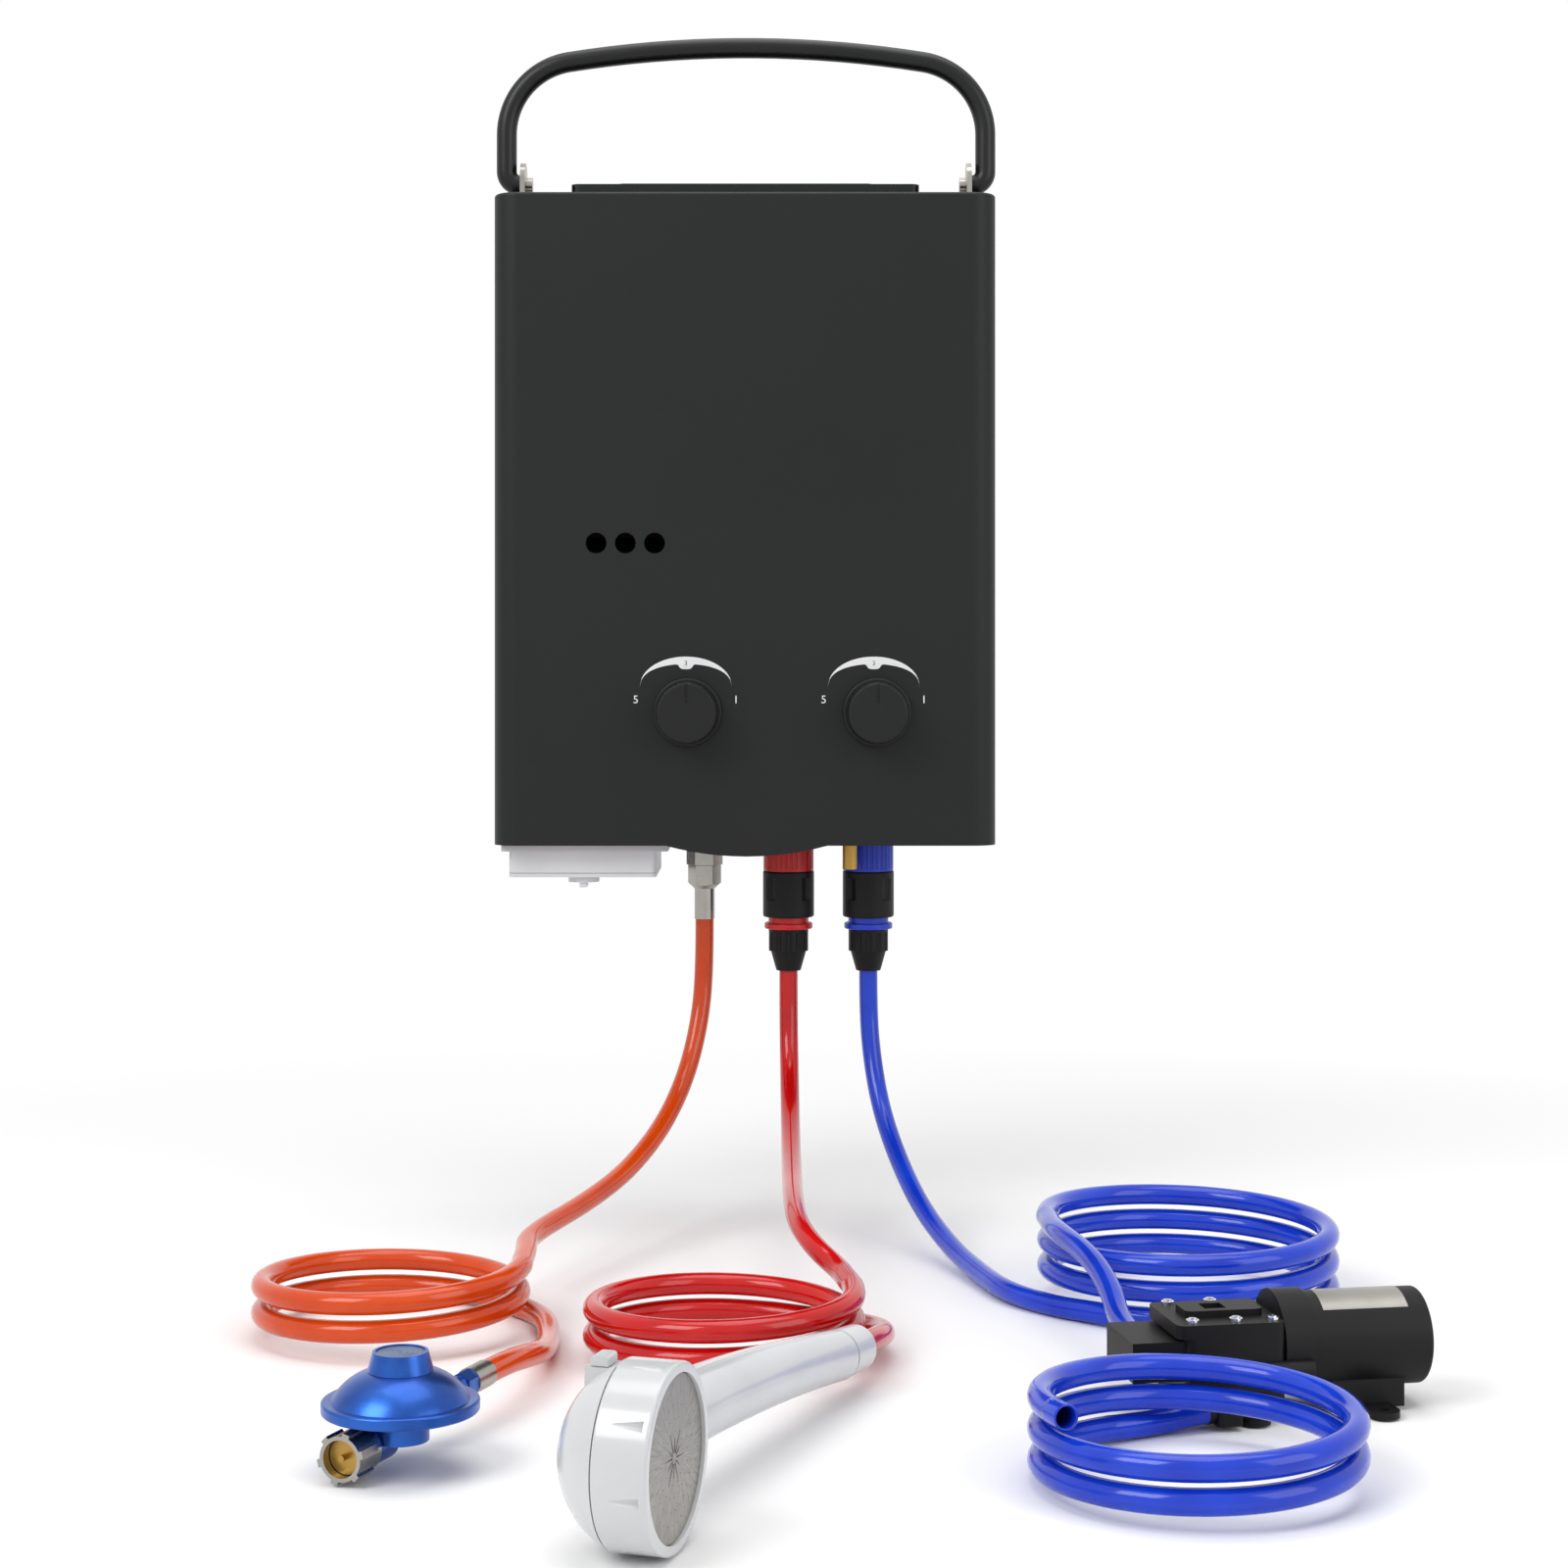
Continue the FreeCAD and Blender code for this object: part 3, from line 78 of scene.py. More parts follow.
def add(tree, kind, links=(), **settings):
    """Adds one node. settings are its properties or its input sockets, links are (socket, source) pairs."""
    node = tree.nodes.new(kind)
    for key, value in settings.items():
        if hasattr(node, key):
            setattr(node, key, value)
        else:
            node.inputs[key.replace("_", " ")].default_value = value
    for socket, source in links:
        tree.links.new(source, node.inputs[socket])
    return node


def new_material(name):
    material = bpy.data.materials.new(name)
    material.use_nodes = True
    material.node_tree.nodes.clear()
    return material, material.node_tree


def two_tone(tree, factor, ends, colours):
    """A ramp between two colours, flat outside its two ends."""
    ramp = add(tree, "ShaderNodeValToRGB", [("Fac", factor)])
    for element, position, colour in zip(ramp.color_ramp.elements, ends, colours):
        element.position = position
        element.color = linear(colour)
    return ramp.outputs["Color"]


def finish_material(name, colours, roughness, grain_mm, bump_mm, metallic=0.0, ior=1.5, coat=0.0,
                    coat_rough=0.1, spread=0.05, stretch=(1, 1, 1), blotch_mm=40.0, shine=0.5):
    """A finish with a fine surface grain, a slow change of tone and a roughness that wanders a little."""
    material, tree = new_material(name)
    place = add(tree, "ShaderNodeTexCoord").outputs["Object"]
    laid = add(tree, "ShaderNodeMapping", [("Vector", place)], Scale=stretch).outputs["Vector"]
    grain = add(tree, "ShaderNodeTexNoise", [("Vector", laid)], Scale=1 / (grain_mm * MM), Detail=3.0)
    blotch = add(tree, "ShaderNodeTexNoise", [("Vector", place)], Scale=1 / (blotch_mm * MM), Detail=4.0)
    tone = two_tone(tree, blotch.outputs["Fac"], BLOTCH_ENDS, colours)
    rough = add(tree, "ShaderNodeMapRange", [("Value", grain.outputs["Fac"])],
                To_Min=max(SMOOTHEST, roughness - spread), To_Max=roughness + spread)
    bump = add(tree, "ShaderNodeBump", [("Height", grain.outputs["Fac"])],
               Strength=GRAIN_STRENGTH, Distance=bump_mm * MM)
    shader = add(tree, "ShaderNodeBsdfPrincipled",
                 [("Base Color", tone), ("Roughness", rough.outputs["Result"]),
                  ("Normal", bump.outputs["Normal"])],
                 Metallic=metallic, IOR=ior, Coat_Weight=coat, Coat_Roughness=coat_rough,
                 Specular_IOR_Level=shine)
    add(tree, "ShaderNodeOutputMaterial", [("Surface", shader.outputs["BSDF"])])
    return material


def powder_coat():
    # Baked polyester powder on sheet steel: a satin black with a faint orange peel.
    return finish_material("satin powder coat", ("#1b1d1d", "#1f2020"), 0.46, 0.9, 0.05, spread=0.04,
                           blotch_mm=160, shine=0.22)


def painted_tube():
    # Gloss enamel over a bent tube: a long soft highlight follows the bends.
    return finish_material("enamelled tube", ("#101112", "#161717"), 0.34, 1.4, 0.03, blotch_mm=60, shine=0.3)


def black_abs():
    # Moulded ABS with a spark-eroded grain: matte black that greys a little where light grazes it.
    return finish_material("moulded black ABS", ("#0e0e0f", "#131314"), 0.5, 0.35, 0.05, shine=0.22)


def knob_abs():
    # Softer grained ABS of the knobs, a touch lighter than the fittings.
    return finish_material("grained knob ABS", ("#141515", "#191a1a"), 0.44, 0.4, 0.05, shine=0.25)


def white_abs():
    # Polished white ABS: bright, with a clear but soft reflection.
    return finish_material("polished white ABS", ("#c6c7c9", "#cecfd1"), 0.2, 3.0, 0.01, ior=1.53, coat=0.3,
                           coat_rough=0.06, spread=0.03)


def grey_abs():
    # Unpolished pale grey ABS of the battery box.
    return finish_material("pale grey ABS", ("#cfd1d4", "#d9dbdd"), 0.4, 0.5, 0.03, ior=1.53)


def coloured_pvc(name, dark, light):
    # Extruded PVC or rubber hose: saturated colour under a wet looking skin.
    return finish_material(name, (dark, light), 0.14, 2.2, 0.008, coat=0.2, coat_rough=0.05,
                           spread=0.03, blotch_mm=30, shine=0.32)


def coloured_pp(name, dark, light):
    # Moulded polypropylene fitting in one solid colour.
    return finish_material(name, (dark, light), 0.36, 0.5, 0.04, ior=1.49)


def nickel():
    # Nickel plated brass and zinc plated steel: warm grey metal with turning marks.
    return finish_material("nickel plate", ("#94918b", "#adaaa4"), 0.26, 0.6, 0.02, metallic=1.0, spread=0.08,
                           stretch=(1, 1, 4))


def bright_chrome():
    # Chrome plated screw heads: near mirror.
    return finish_material("chrome plate", ("#d6d7d9", "#e4e5e6"), 0.12, 1.0, 0.01, metallic=1.0, spread=0.04)


def turned_brass():
    # Turned brass, dull from handling.
    return finish_material("turned brass", ("#9c7a3c", "#b8954f"), 0.3, 0.5, 0.02, metallic=1.0, spread=0.1)


def drawn_copper():
    # Drawn copper with a little heat tint.
    return finish_material("drawn copper", ("#a8623f", "#c07a52"), 0.34, 0.8, 0.03, metallic=1.0, spread=0.1)


def hole_shade_copper():
    # Copper painted near black as painted shade, so the sight holes stay dark.
    return finish_material("copper painted with hole shade", ("#120b08", "#2a1710"), 0.6, 0.8, 0.06, metallic=0.6, shine=0.2)


def cast_aluminium():
    # Pressure die cast aluminium: grey with a fine cast skin.
    return finish_material("die cast aluminium", ("#7b7d80", "#8f9194"), 0.45, 0.5, 0.06, metallic=1.0)


def blue_lacquer():
    # Transparent blue lacquer over a zinc casting: metal shines through the colour.
    return finish_material("blue lacquered casting", ("#1a3f8c", "#2a62bd"), 0.3, 0.45, 0.05, metallic=0.85,
                           coat=0.15, coat_rough=0.1, spread=0.08, stretch=(1, 1, 3), blotch_mm=25)


def plain_steel():
    # Bare rolled stainless steel.
    return finish_material("rolled stainless steel", ("#8f8d89", "#a09e9a"), 0.35, 0.7, 0.02, metallic=1.0,
                           stretch=(6, 1, 1))


def silver_foil():
    # Brushed aluminium foil label, bare.
    return finish_material("brushed foil", ("#8f8d86", "#a5a39c"), 0.34, 0.8, 0.01, metallic=0.9,
                           stretch=(1, 8, 8))


def screen_ink():
    # Screen printed white ink, slightly rough on the coat under it.
    return finish_material("white screen ink", ("#e6e7e8", "#f0f0f0"), 0.55, 0.3, 0.01)


def brushed_cap():
    # The turned top of the regulator's cap: pale blue grey metal with fine concentric marks.
    return finish_material("turned blue grey cap", ("#5f7092", "#7d8cab"), 0.36, 0.5, 0.03, metallic=0.9,
                           stretch=(1, 1, 6))


def slit_shadow():
    # The dark inside of the narrow slits around the spray plate's centre.
    return finish_material("slit shadow", ("#2a2927", "#3a3936"), 0.6, 0.4, 0.02, shine=0.2)


RAY_FREQUENCY = 9.0
RAY_DRIFT = 60.0
RAY_NOISE = 2.2
RAY_ENDS = (0.36, 0.62)
RAY_DEPTH = 0.3 * MM


def radial_steel(centre, normal):
    """The spray plate: stainless steel brushed and etched in rays from its centre."""
    material, tree = new_material("radially etched steel")
    turn = Vector((1, 0, 0)).rotation_difference(normal).inverted().to_euler()
    place = add(tree, "ShaderNodeTexCoord").outputs["Object"]
    moved = add(tree, "ShaderNodeVectorMath", [(0, place)], operation="SUBTRACT")
    moved.inputs[1].default_value = centre
    facing = add(tree, "ShaderNodeMapping", [("Vector", moved.outputs["Vector"])], Rotation=tuple(turn))
    local = facing.outputs["Vector"]
    split = add(tree, "ShaderNodeSeparateXYZ", [("Vector", local)])
    angle = add(tree, "ShaderNodeMath", [(0, split.outputs["Z"]), (1, split.outputs["Y"])],
                operation="ARCTAN2")
    around = add(tree, "ShaderNodeMath", [(0, angle.outputs[0])], operation="MULTIPLY")
    around.inputs[1].default_value = RAY_FREQUENCY
    reach = add(tree, "ShaderNodeVectorMath", [(0, local)], operation="LENGTH")
    out = add(tree, "ShaderNodeMath", [(0, reach.outputs["Value"])], operation="MULTIPLY")
    out.inputs[1].default_value = RAY_DRIFT
    joined = add(tree, "ShaderNodeCombineXYZ", [("X", around.outputs[0]), ("Y", out.outputs[0])])
    rays = add(tree, "ShaderNodeTexNoise", [("Vector", joined.outputs["Vector"])],
               Scale=RAY_NOISE, Detail=5.0)
    tone = two_tone(tree, rays.outputs["Fac"], RAY_ENDS, ("#918e87", "#a5a29b"))
    bump = add(tree, "ShaderNodeBump", [("Height", rays.outputs["Fac"])], Strength=0.5, Distance=RAY_DEPTH)
    shader = add(tree, "ShaderNodeBsdfPrincipled",
                 [("Base Color", tone), ("Normal", bump.outputs["Normal"])],
                 Metallic=0.7, Roughness=0.42)
    add(tree, "ShaderNodeOutputMaterial", [("Surface", shader.outputs["BSDF"])])
    return material


# Hoses: the routes in metres, from the exit to the coil and from the coil to the far end

HOSE = 11.0 * MM
HOSE_FACETS = 7
HOSE_SPANS = 10
COIL_POINTS = 16
# A spline cuts inside its control points, so these stand 1% outside the coil's radius.
COIL_DRAW = (1 + math.cos(math.pi / COIL_POINTS)) / 2

GAS_ROUTE = [(-0.0247, -0.060, -0.4326), (-0.0247, -0.060, -0.464), (-0.0275, -0.066, -0.494),
             (-0.035, -0.082, -0.524), (-0.048, -0.112, -0.549), (-0.066, -0.154, -0.566),
             (-0.086, -0.202, -0.574), (-0.104, -0.248, -0.577), (-0.111, -0.278, -0.578),
             (-0.1092, -0.299, -0.5789), (-0.1092, -0.321, -0.5796)]
GAS_COIL = dict(centre=(-0.1736, -0.332), radius=0.0644, start=0, stop=-680, low=-0.580, high=-0.6055)
GAS_TAIL = [(-0.1172, -0.299, -0.6059), (-0.1031, -0.3159, -0.6066), (-0.0945, -0.342, -0.6055),
            (-0.091, -0.378, -0.605), (-0.0905, -0.414, -0.601), (-0.0935, -0.446, -0.595),
            (-0.1014, -0.4776, -0.590), (-0.1093, -0.4982, -0.590)]
SHOWER_ROUTE = [(0.0253, -0.060, -0.4632), (0.0253, -0.060, -0.492), (0.0258, -0.072, -0.520),
                (0.0262, -0.100, -0.543), (0.0266, -0.144, -0.556), (0.027, -0.196, -0.5615),
                (0.0274, -0.250, -0.5625), (0.0295, -0.296, -0.5655), (0.038, -0.324, -0.572),
                (0.0504, -0.3395, -0.5798), (0.0542, -0.3612, -0.5805)]
SHOWER_COIL = dict(centre=(-0.0062, -0.383), radius=0.0633, start=10, stop=-650, low=-0.5809, high=-0.6046)
SHOWER_TAIL = [(0.0258, -0.3273, -0.605), (0.0464, -0.3348, -0.6057), (0.062, -0.346, -0.6053),
               (0.073, -0.378, -0.601), (0.0643, -0.4219, -0.5943), (0.0554, -0.442, -0.5928)]
SUPPLY_ROUTE = [(0.0728, -0.060, -0.4632), (0.0728, -0.060, -0.490), (0.075, -0.066, -0.516),
                (0.0795, -0.080, -0.542), (0.088, -0.106, -0.566), (0.100, -0.144, -0.588),
                (0.115, -0.190, -0.6015), (0.128, -0.236, -0.6052), (0.139, -0.276, -0.6055),
                (0.1609, -0.303, -0.6065), (0.1777, -0.3172, -0.6058)]
SUPPLY_COIL = dict(centre=(0.2333, -0.268), radius=0.0734, start=230, stop=1260, low=-0.6055, high=-0.5672)
SUPPLY_TAIL = [(0.1599, -0.279, -0.5669), (0.1599, -0.301, -0.5662), (0.162, -0.326, -0.565),
               (0.172, -0.366, -0.567), (0.178, -0.400, -0.5745), (0.179, -0.4313, -0.5845),
               (0.1828, -0.453, -0.5845)]
SUCTION_ROUTE = [(0.2069, -0.5087, -0.6042), (0.2017, -0.5105, -0.6042), (0.1883, -0.5154, -0.6066),
                 (0.1692, -0.5264, -0.6059)]
SUCTION_COIL = dict(centre=(0.1921, -0.588), radius=0.0648, start=120, stop=920, low=-0.6055, high=-0.5765)
SUCTION_END = [(0.135, -0.6205, -0.5761)]


def coil_points(centre, radius, start, stop, low, high):
    """Control points of one coil, from one angle and height to another. Angles are in degrees."""
    steps = round(abs(stop - start) / 360 * COIL_POINTS)
    draw = radius / COIL_DRAW
    points = []
    for i in range(steps + 1):
        angle = math.radians(start + (stop - start) * i / steps)
        points.append((centre[0] + draw * math.cos(angle), centre[1] + draw * math.sin(angle),
                       low + (high - low) * i / steps))
    return points


def hose(name, points, material, caps=True):
    curve = bpy.data.curves.new(name, "CURVE")
    curve.dimensions = "3D"
    curve.bevel_depth = HOSE / 2
    curve.bevel_resolution = HOSE_FACETS
    curve.resolution_u = HOSE_SPANS
    curve.use_fill_caps = caps
    spline = curve.splines.new("NURBS")
    spline.points.add(len(points) - 1)
    for point, place in zip(spline.points, points):
        point.co = (*place, 1.0)
    spline.order_u = 3
    spline.use_endpoint_u = True
    piece = bpy.data.objects.new(name, curve)
    curve.materials.append(material)
    bpy.context.collection.objects.link(piece)
    return piece


def spline_length(piece):
    """The length of a hose's centre line, measured on the same curve without its thickness."""
    bare = piece.data.copy()
    bare.bevel_depth = 0
    probe = bpy.data.objects.new("probe", bare)
    bpy.context.collection.objects.link(probe)
    graph = bpy.context.evaluated_depsgraph_get()
    mesh = bpy.data.meshes.new_from_object(probe.evaluated_get(graph))
    places = [vertex.co.copy() for vertex in mesh.vertices]
    bpy.data.objects.remove(probe)
    bpy.data.meshes.remove(mesh)
    return sum((b - a).length for a, b in zip(places, places[1:]))


def make_hoses(orange, red, blue):
    gas = hose("gas_hose", GAS_ROUTE + coil_points(**GAS_COIL) + GAS_TAIL, orange)
    shower = hose("shower_hose", SHOWER_ROUTE + coil_points(**SHOWER_COIL) + SHOWER_TAIL, red)
    supply = hose("supply_hose", SUPPLY_ROUTE + coil_points(**SUPPLY_COIL) + SUPPLY_TAIL, blue)
    suction_points = SUCTION_ROUTE + coil_points(**SUCTION_COIL) + SUCTION_END
    suction = hose("suction_hose", suction_points, blue, caps=False)
    mouth = hose_mouth(blue)
    facts = [(gas, GAS_ROUTE, "fitting", "medium", [nodes["gas_hose_ferrules"]], "gas"),
             (shower, SHOWER_ROUTE, "object", "medium", [], "shower"),
             (supply, SUPPLY_ROUTE, "object", "medium", [], "supply")]
    for piece, route, far_end, stiffness, extras, name in facts:
        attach(piece, "root")
        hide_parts(name + "_hose_runs", name + "_hose_coil")
        spline_length(piece)
    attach(suction, "root")
    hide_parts("suction_hose_run", "suction_hose_coil")
    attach(mouth, "root")
    spline_length(suction)


# Mesh helpers

def mesh_piece(name, bm, material, smooth=True):
    bmesh.ops.recalc_face_normals(bm, faces=bm.faces)
    mesh = bpy.data.meshes.new(name)
    bm.to_mesh(mesh)
    bm.free()
    for face in mesh.polygons:
        face.use_smooth = smooth
    mesh.materials.append(material)
    piece = bpy.data.objects.new(name, mesh)
    bpy.context.collection.objects.link(piece)
    return piece


def turned(bm, profile, place, steps=48):
    """Spins a closed profile of (along, radius) points about the local X axis, then places it."""
    rings = []
    for along, radius in profile:
        turns = [2 * math.pi * k / steps for k in range(steps)]
        rings.append([bm.verts.new(place @ Vector((along, radius * math.cos(t), radius * math.sin(t))))
                      for t in turns])
    for near, far in zip(rings, rings[1:] + rings[:1]):
        for k in range(steps):
            bm.faces.new((near[k], near[(k + 1) % steps], far[(k + 1) % steps], far[k]))


def axis_place(spot, axis):
    """Puts the local origin at spot and turns the local X axis to axis."""
    return Matrix.Translation(spot) @ Vector((1, 0, 0)).rotation_difference(axis).to_matrix().to_4x4()


MOUTH_WALL = 1.1 * MM
MOUTH_DEPTH = 12 * MM
MOUTH_LIP = 0.3 * MM
MOUTH_FIT = 0.985
OUTER_ROUND, INNER_ROUND = 0.4 * MM, 0.2 * MM
MOUTH_HEADING = Vector((0.342, -0.939, 0.033)).normalized()


def hose_mouth(material):
    """The cut end of the suction hose: its wall and the first stretch of its bore."""
    outer = HOSE / 2
    bore = outer - MOUTH_WALL
    skin = outer * MOUTH_FIT
    profile = [(-MOUTH_DEPTH, skin), (0, skin), (MOUTH_LIP, outer - OUTER_ROUND),
               (MOUTH_LIP, bore + INNER_ROUND), (0, bore), (-MOUTH_DEPTH, bore)]
    bm = bmesh.new()
    turned(bm, profile, axis_place(Vector(SUCTION_END[0]), MOUTH_HEADING))
    return mesh_piece("suction_hose_mouth", bm, material)


# Markings on the front: crescent scales, generic numbers and no words

FRONT = -120.0 * MM
INK = 0.15 * MM
KNOB_X = {"gas": -33.8 * MM, "water": 74.2 * MM}
KNOB_Z = -308.3 * MM
SCALE_HALF = 26.5 * MM
SCALE_RISE = 18.0 * MM
SCALE_THICK = 4.2 * MM
SCALE_LOW = 14.0 * MM
TAB_HALF = 4.6 * MM
TAB_DROP = 3.0 * MM
SCALE_STEPS = 48
ARC_SPAN, ARC_POWER = 0.999, 0.95
THICK_POWER = 0.8
TAB_POWER = 4
MERGE = 0.00001
SIDE_OUT, SIDE_UP, SIDE_TALL = 28.8 * MM, 7.2 * MM, 6.4 * MM
MIDDLE_DROP, MIDDLE_TALL = 3.9 * MM, 4.0 * MM


def crescent(name, x, material):
    """A crescent over a knob: two arcs that meet in points, with a small tab at its middle."""
    base = KNOB_Z + SCALE_LOW
    top, under = [], []
    for i in range(SCALE_STEPS + 1):
        share = -1 + 2 * i / SCALE_STEPS
        px = x + SCALE_HALF * share
        outer = base + SCALE_RISE * math.sqrt(max(0.0, 1 - share ** 2 * ARC_SPAN)) ** ARC_POWER
        thick = SCALE_THICK * (1 - share ** 2) ** THICK_POWER
        tab = TAB_DROP * max(0.0, 1 - (abs(share) * SCALE_HALF / TAB_HALF) ** TAB_POWER)
        top.append((px, outer))
        under.append((px, outer - thick - tab))
    bm = bmesh.new()
    front = [[bm.verts.new((px, FRONT - INK, pz)) for px, pz in row] for row in (top, under)]
    back = [[bm.verts.new((px, FRONT, pz)) for px, pz in row] for row in (top, under)]
    for i in range(SCALE_STEPS):
        bm.faces.new((front[0][i], front[0][i + 1], front[1][i + 1], front[1][i]))
        bm.faces.new((back[0][i], back[1][i], back[1][i + 1], back[0][i + 1]))
        bm.faces.new((front[0][i], back[0][i], back[0][i + 1], front[0][i + 1]))
        bm.faces.new((front[1][i], front[1][i + 1], back[1][i + 1], back[1][i]))
    for end in (0, SCALE_STEPS):
        bm.faces.new((front[0][end], front[1][end], back[1][end], back[0][end]))
    bmesh.ops.remove_doubles(bm, verts=bm.verts, dist=MERGE)
    piece = mesh_piece(name, bm, material, smooth=False)
    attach(piece, "root")


def numeral(name, sign, x, z, height, material):
    """One printed number, as a thin mesh on the front face."""
    data = bpy.data.curves.new(name, "FONT")
    data.body = sign
    data.size = height
    data.extrude = INK / 2
    data.align_x = "CENTER"
    data.align_y = "CENTER"
    text = bpy.data.objects.new(name + "_text", data)
    bpy.context.collection.objects.link(text)
    graph = bpy.context.evaluated_depsgraph_get()
    mesh = bpy.data.meshes.new_from_object(text.evaluated_get(graph))
    bpy.data.objects.remove(text)
    mesh.transform(Matrix.Translation((x, FRONT - INK / 2, z)) @ Matrix.Rotation(math.radians(90), 4, "X"))
    mesh.materials.clear()
    mesh.materials.append(material)
    piece = bpy.data.objects.new(name, mesh)
    bpy.context.collection.objects.link(piece)
    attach(piece, "root")


def front_marks(ink, black):
    middle_z = KNOB_Z + SCALE_LOW + SCALE_RISE - MIDDLE_DROP
    for name, x in KNOB_X.items():
        crescent(name + "_scale", x, ink)
        numeral(name + "_high", "5", x - SIDE_OUT, KNOB_Z + SIDE_UP, SIDE_TALL, ink)
        numeral(name + "_low", "1", x + SIDE_OUT, KNOB_Z + SIDE_UP, SIDE_TALL, ink)
        numeral(name + "_middle", "3", x, middle_z, MIDDLE_TALL, black)


# Spray plate: jets set out by Geometry Nodes in rings, and slits around the centre

PLATE_CENTRE = Vector((-17.4, -680.6, -575.0)) * MM
PLATE_TURN = math.radians(-17.5)
PLATE_NORMAL = Vector((math.cos(PLATE_TURN), math.sin(PLATE_TURN), 0))
PLATE_FACE = -1.5 * MM
JET_RINGS = ((8, 5.0 * MM), (14, 10.0 * MM), (20, 15.0 * MM), (26, 20.0 * MM), (32, 25.0 * MM))
JET_RADIUS = 0.28 * MM


def plate_place():
    """Puts the local origin on the plate's face, with the local Z axis pointing out of it."""
    upright = Vector((0, 0, 1)).rotation_difference(PLATE_NORMAL).to_matrix().to_4x4()
    return Matrix.Translation(PLATE_CENTRE + PLATE_NORMAL * PLATE_FACE) @ upright


def ring_tree(name):
    """Small domes in one ring: inputs are how many, the ring's radius, the dome's size and its material."""
    tree = bpy.data.node_groups.new(name, "GeometryNodeTree")
    sockets = {}
    for label, kind in (("Count", "NodeSocketInt"), ("Ring radius", "NodeSocketFloat"),
                        ("Dome radius", "NodeSocketFloat"), ("Finish", "NodeSocketMaterial")):
        sockets[label] = tree.interface.new_socket(label, in_out="INPUT", socket_type=kind).identifier
    tree.interface.new_socket("Geometry", in_out="OUTPUT", socket_type="NodeSocketGeometry")
    start = add(tree, "NodeGroupInput").outputs
    ring = add(tree, "GeometryNodeMeshCircle",
               [("Vertices", start["Count"]), ("Radius", start["Ring radius"])])
    dome = add(tree, "GeometryNodeMeshUVSphere", [("Radius", start["Dome radius"])], Segments=10, Rings=6)
    spread = add(tree, "GeometryNodeInstanceOnPoints",
                 [("Points", ring.outputs["Mesh"]), ("Instance", dome.outputs["Mesh"])])
    real = add(tree, "GeometryNodeRealizeInstances", [("Geometry", spread.outputs["Instances"])])
    painted = add(tree, "GeometryNodeSetMaterial",
                  [("Geometry", real.outputs["Geometry"]), ("Material", start["Finish"])])
    add(tree, "NodeGroupOutput", [("Geometry", painted.outputs["Geometry"])])
    return tree, sockets


def spray_jets(material):
    tree, sockets = ring_tree("jet ring")
    bm = bmesh.new()
    for count, radius in JET_RINGS:
        holder = bpy.data.objects.new("jets", bpy.data.meshes.new("jets"))
        bpy.context.collection.objects.link(holder)
        modifier = holder.modifiers.new("jets", "NODES")
        modifier.node_group = tree
        modifier[sockets["Count"]] = count
        modifier[sockets["Ring radius"]] = radius
        modifier[sockets["Dome radius"]] = JET_RADIUS
        modifier[sockets["Finish"]] = material
        graph = bpy.context.evaluated_depsgraph_get()
        mesh = bpy.data.meshes.new_from_object(holder.evaluated_get(graph))
        bpy.data.objects.remove(holder)
        bm.from_mesh(mesh)
        bpy.data.meshes.remove(mesh)
    bm.transform(plate_place())
    piece = mesh_piece("spray_jets", bm, material)
    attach(piece, "root")


SLIT_COUNT = 12
SLIT_LONG = 9.0 * MM
SLIT_SHORT = 5.5 * MM
SLIT_WIDE = 0.55 * MM
SLIT_START = 2.2 * MM
SLIT_RISE = 0.08 * MM
SLIT_OFFSET = 0.25


def star_slits(material):
    """Tapered slits, long and short by turns, that point away from the centre of the spray plate."""
    bm = bmesh.new()
    place = plate_place()
    for i in range(SLIT_COUNT):
        reach = SLIT_LONG if i % 2 == 0 else SLIT_SHORT
        turn = place @ Matrix.Rotation(2 * math.pi * (i + SLIT_OFFSET) / SLIT_COUNT, 4, "Z")
        outline = [(SLIT_START, -SLIT_WIDE / 2), (SLIT_START + reach, 0), (SLIT_START, SLIT_WIDE / 2)]
        low = [bm.verts.new(turn @ Vector((x, y, 0))) for x, y in outline]
        high = [bm.verts.new(turn @ Vector((x, y, SLIT_RISE))) for x, y in outline]
        bm.faces.new(high)
        bm.faces.new(low[::-1])
        for k in range(3):
            bm.faces.new((low[k], low[(k + 1) % 3], high[(k + 1) % 3], high[k]))
    piece = mesh_piece("star_slits", bm, material, smooth=False)
    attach(piece, "root")


# Regulator cap top

CAP_CENTRE = Vector((-137.0, -570.0, -562.8)) * MM
CAP_DISC_RADIUS = 10.2 * MM
CAP_GROOVES = 5
CAP_PINHOLE = 0.05 * MM
RIDGE_HIGH, GROOVE_HIGH = 0.25 * MM, 0.15 * MM
GROOVE_MIDDLE, GROOVE_WIDE = 0.45 * MM, 0.9 * MM


def cap_disc(material):
    """A turned disc with shallow concentric grooves, set in the recess of the regulator's cap."""
    profile = [(0, CAP_PINHOLE)]
    for i in range(CAP_GROOVES):
        radius = CAP_DISC_RADIUS * (i + 0.5) / CAP_GROOVES
        profile += [(RIDGE_HIGH, radius), (GROOVE_HIGH, radius + GROOVE_MIDDLE),
                    (RIDGE_HIGH, radius + GROOVE_WIDE)]
    profile += [(RIDGE_HIGH, CAP_DISC_RADIUS), (0, CAP_DISC_RADIUS)]
    bm = bmesh.new()
    turned(bm, profile, axis_place(CAP_CENTRE, Vector((0, 0, 1))))
    piece = mesh_piece("regulator_cap_disc", bm, material, smooth=False)
    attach(piece, "root")


# Pump label

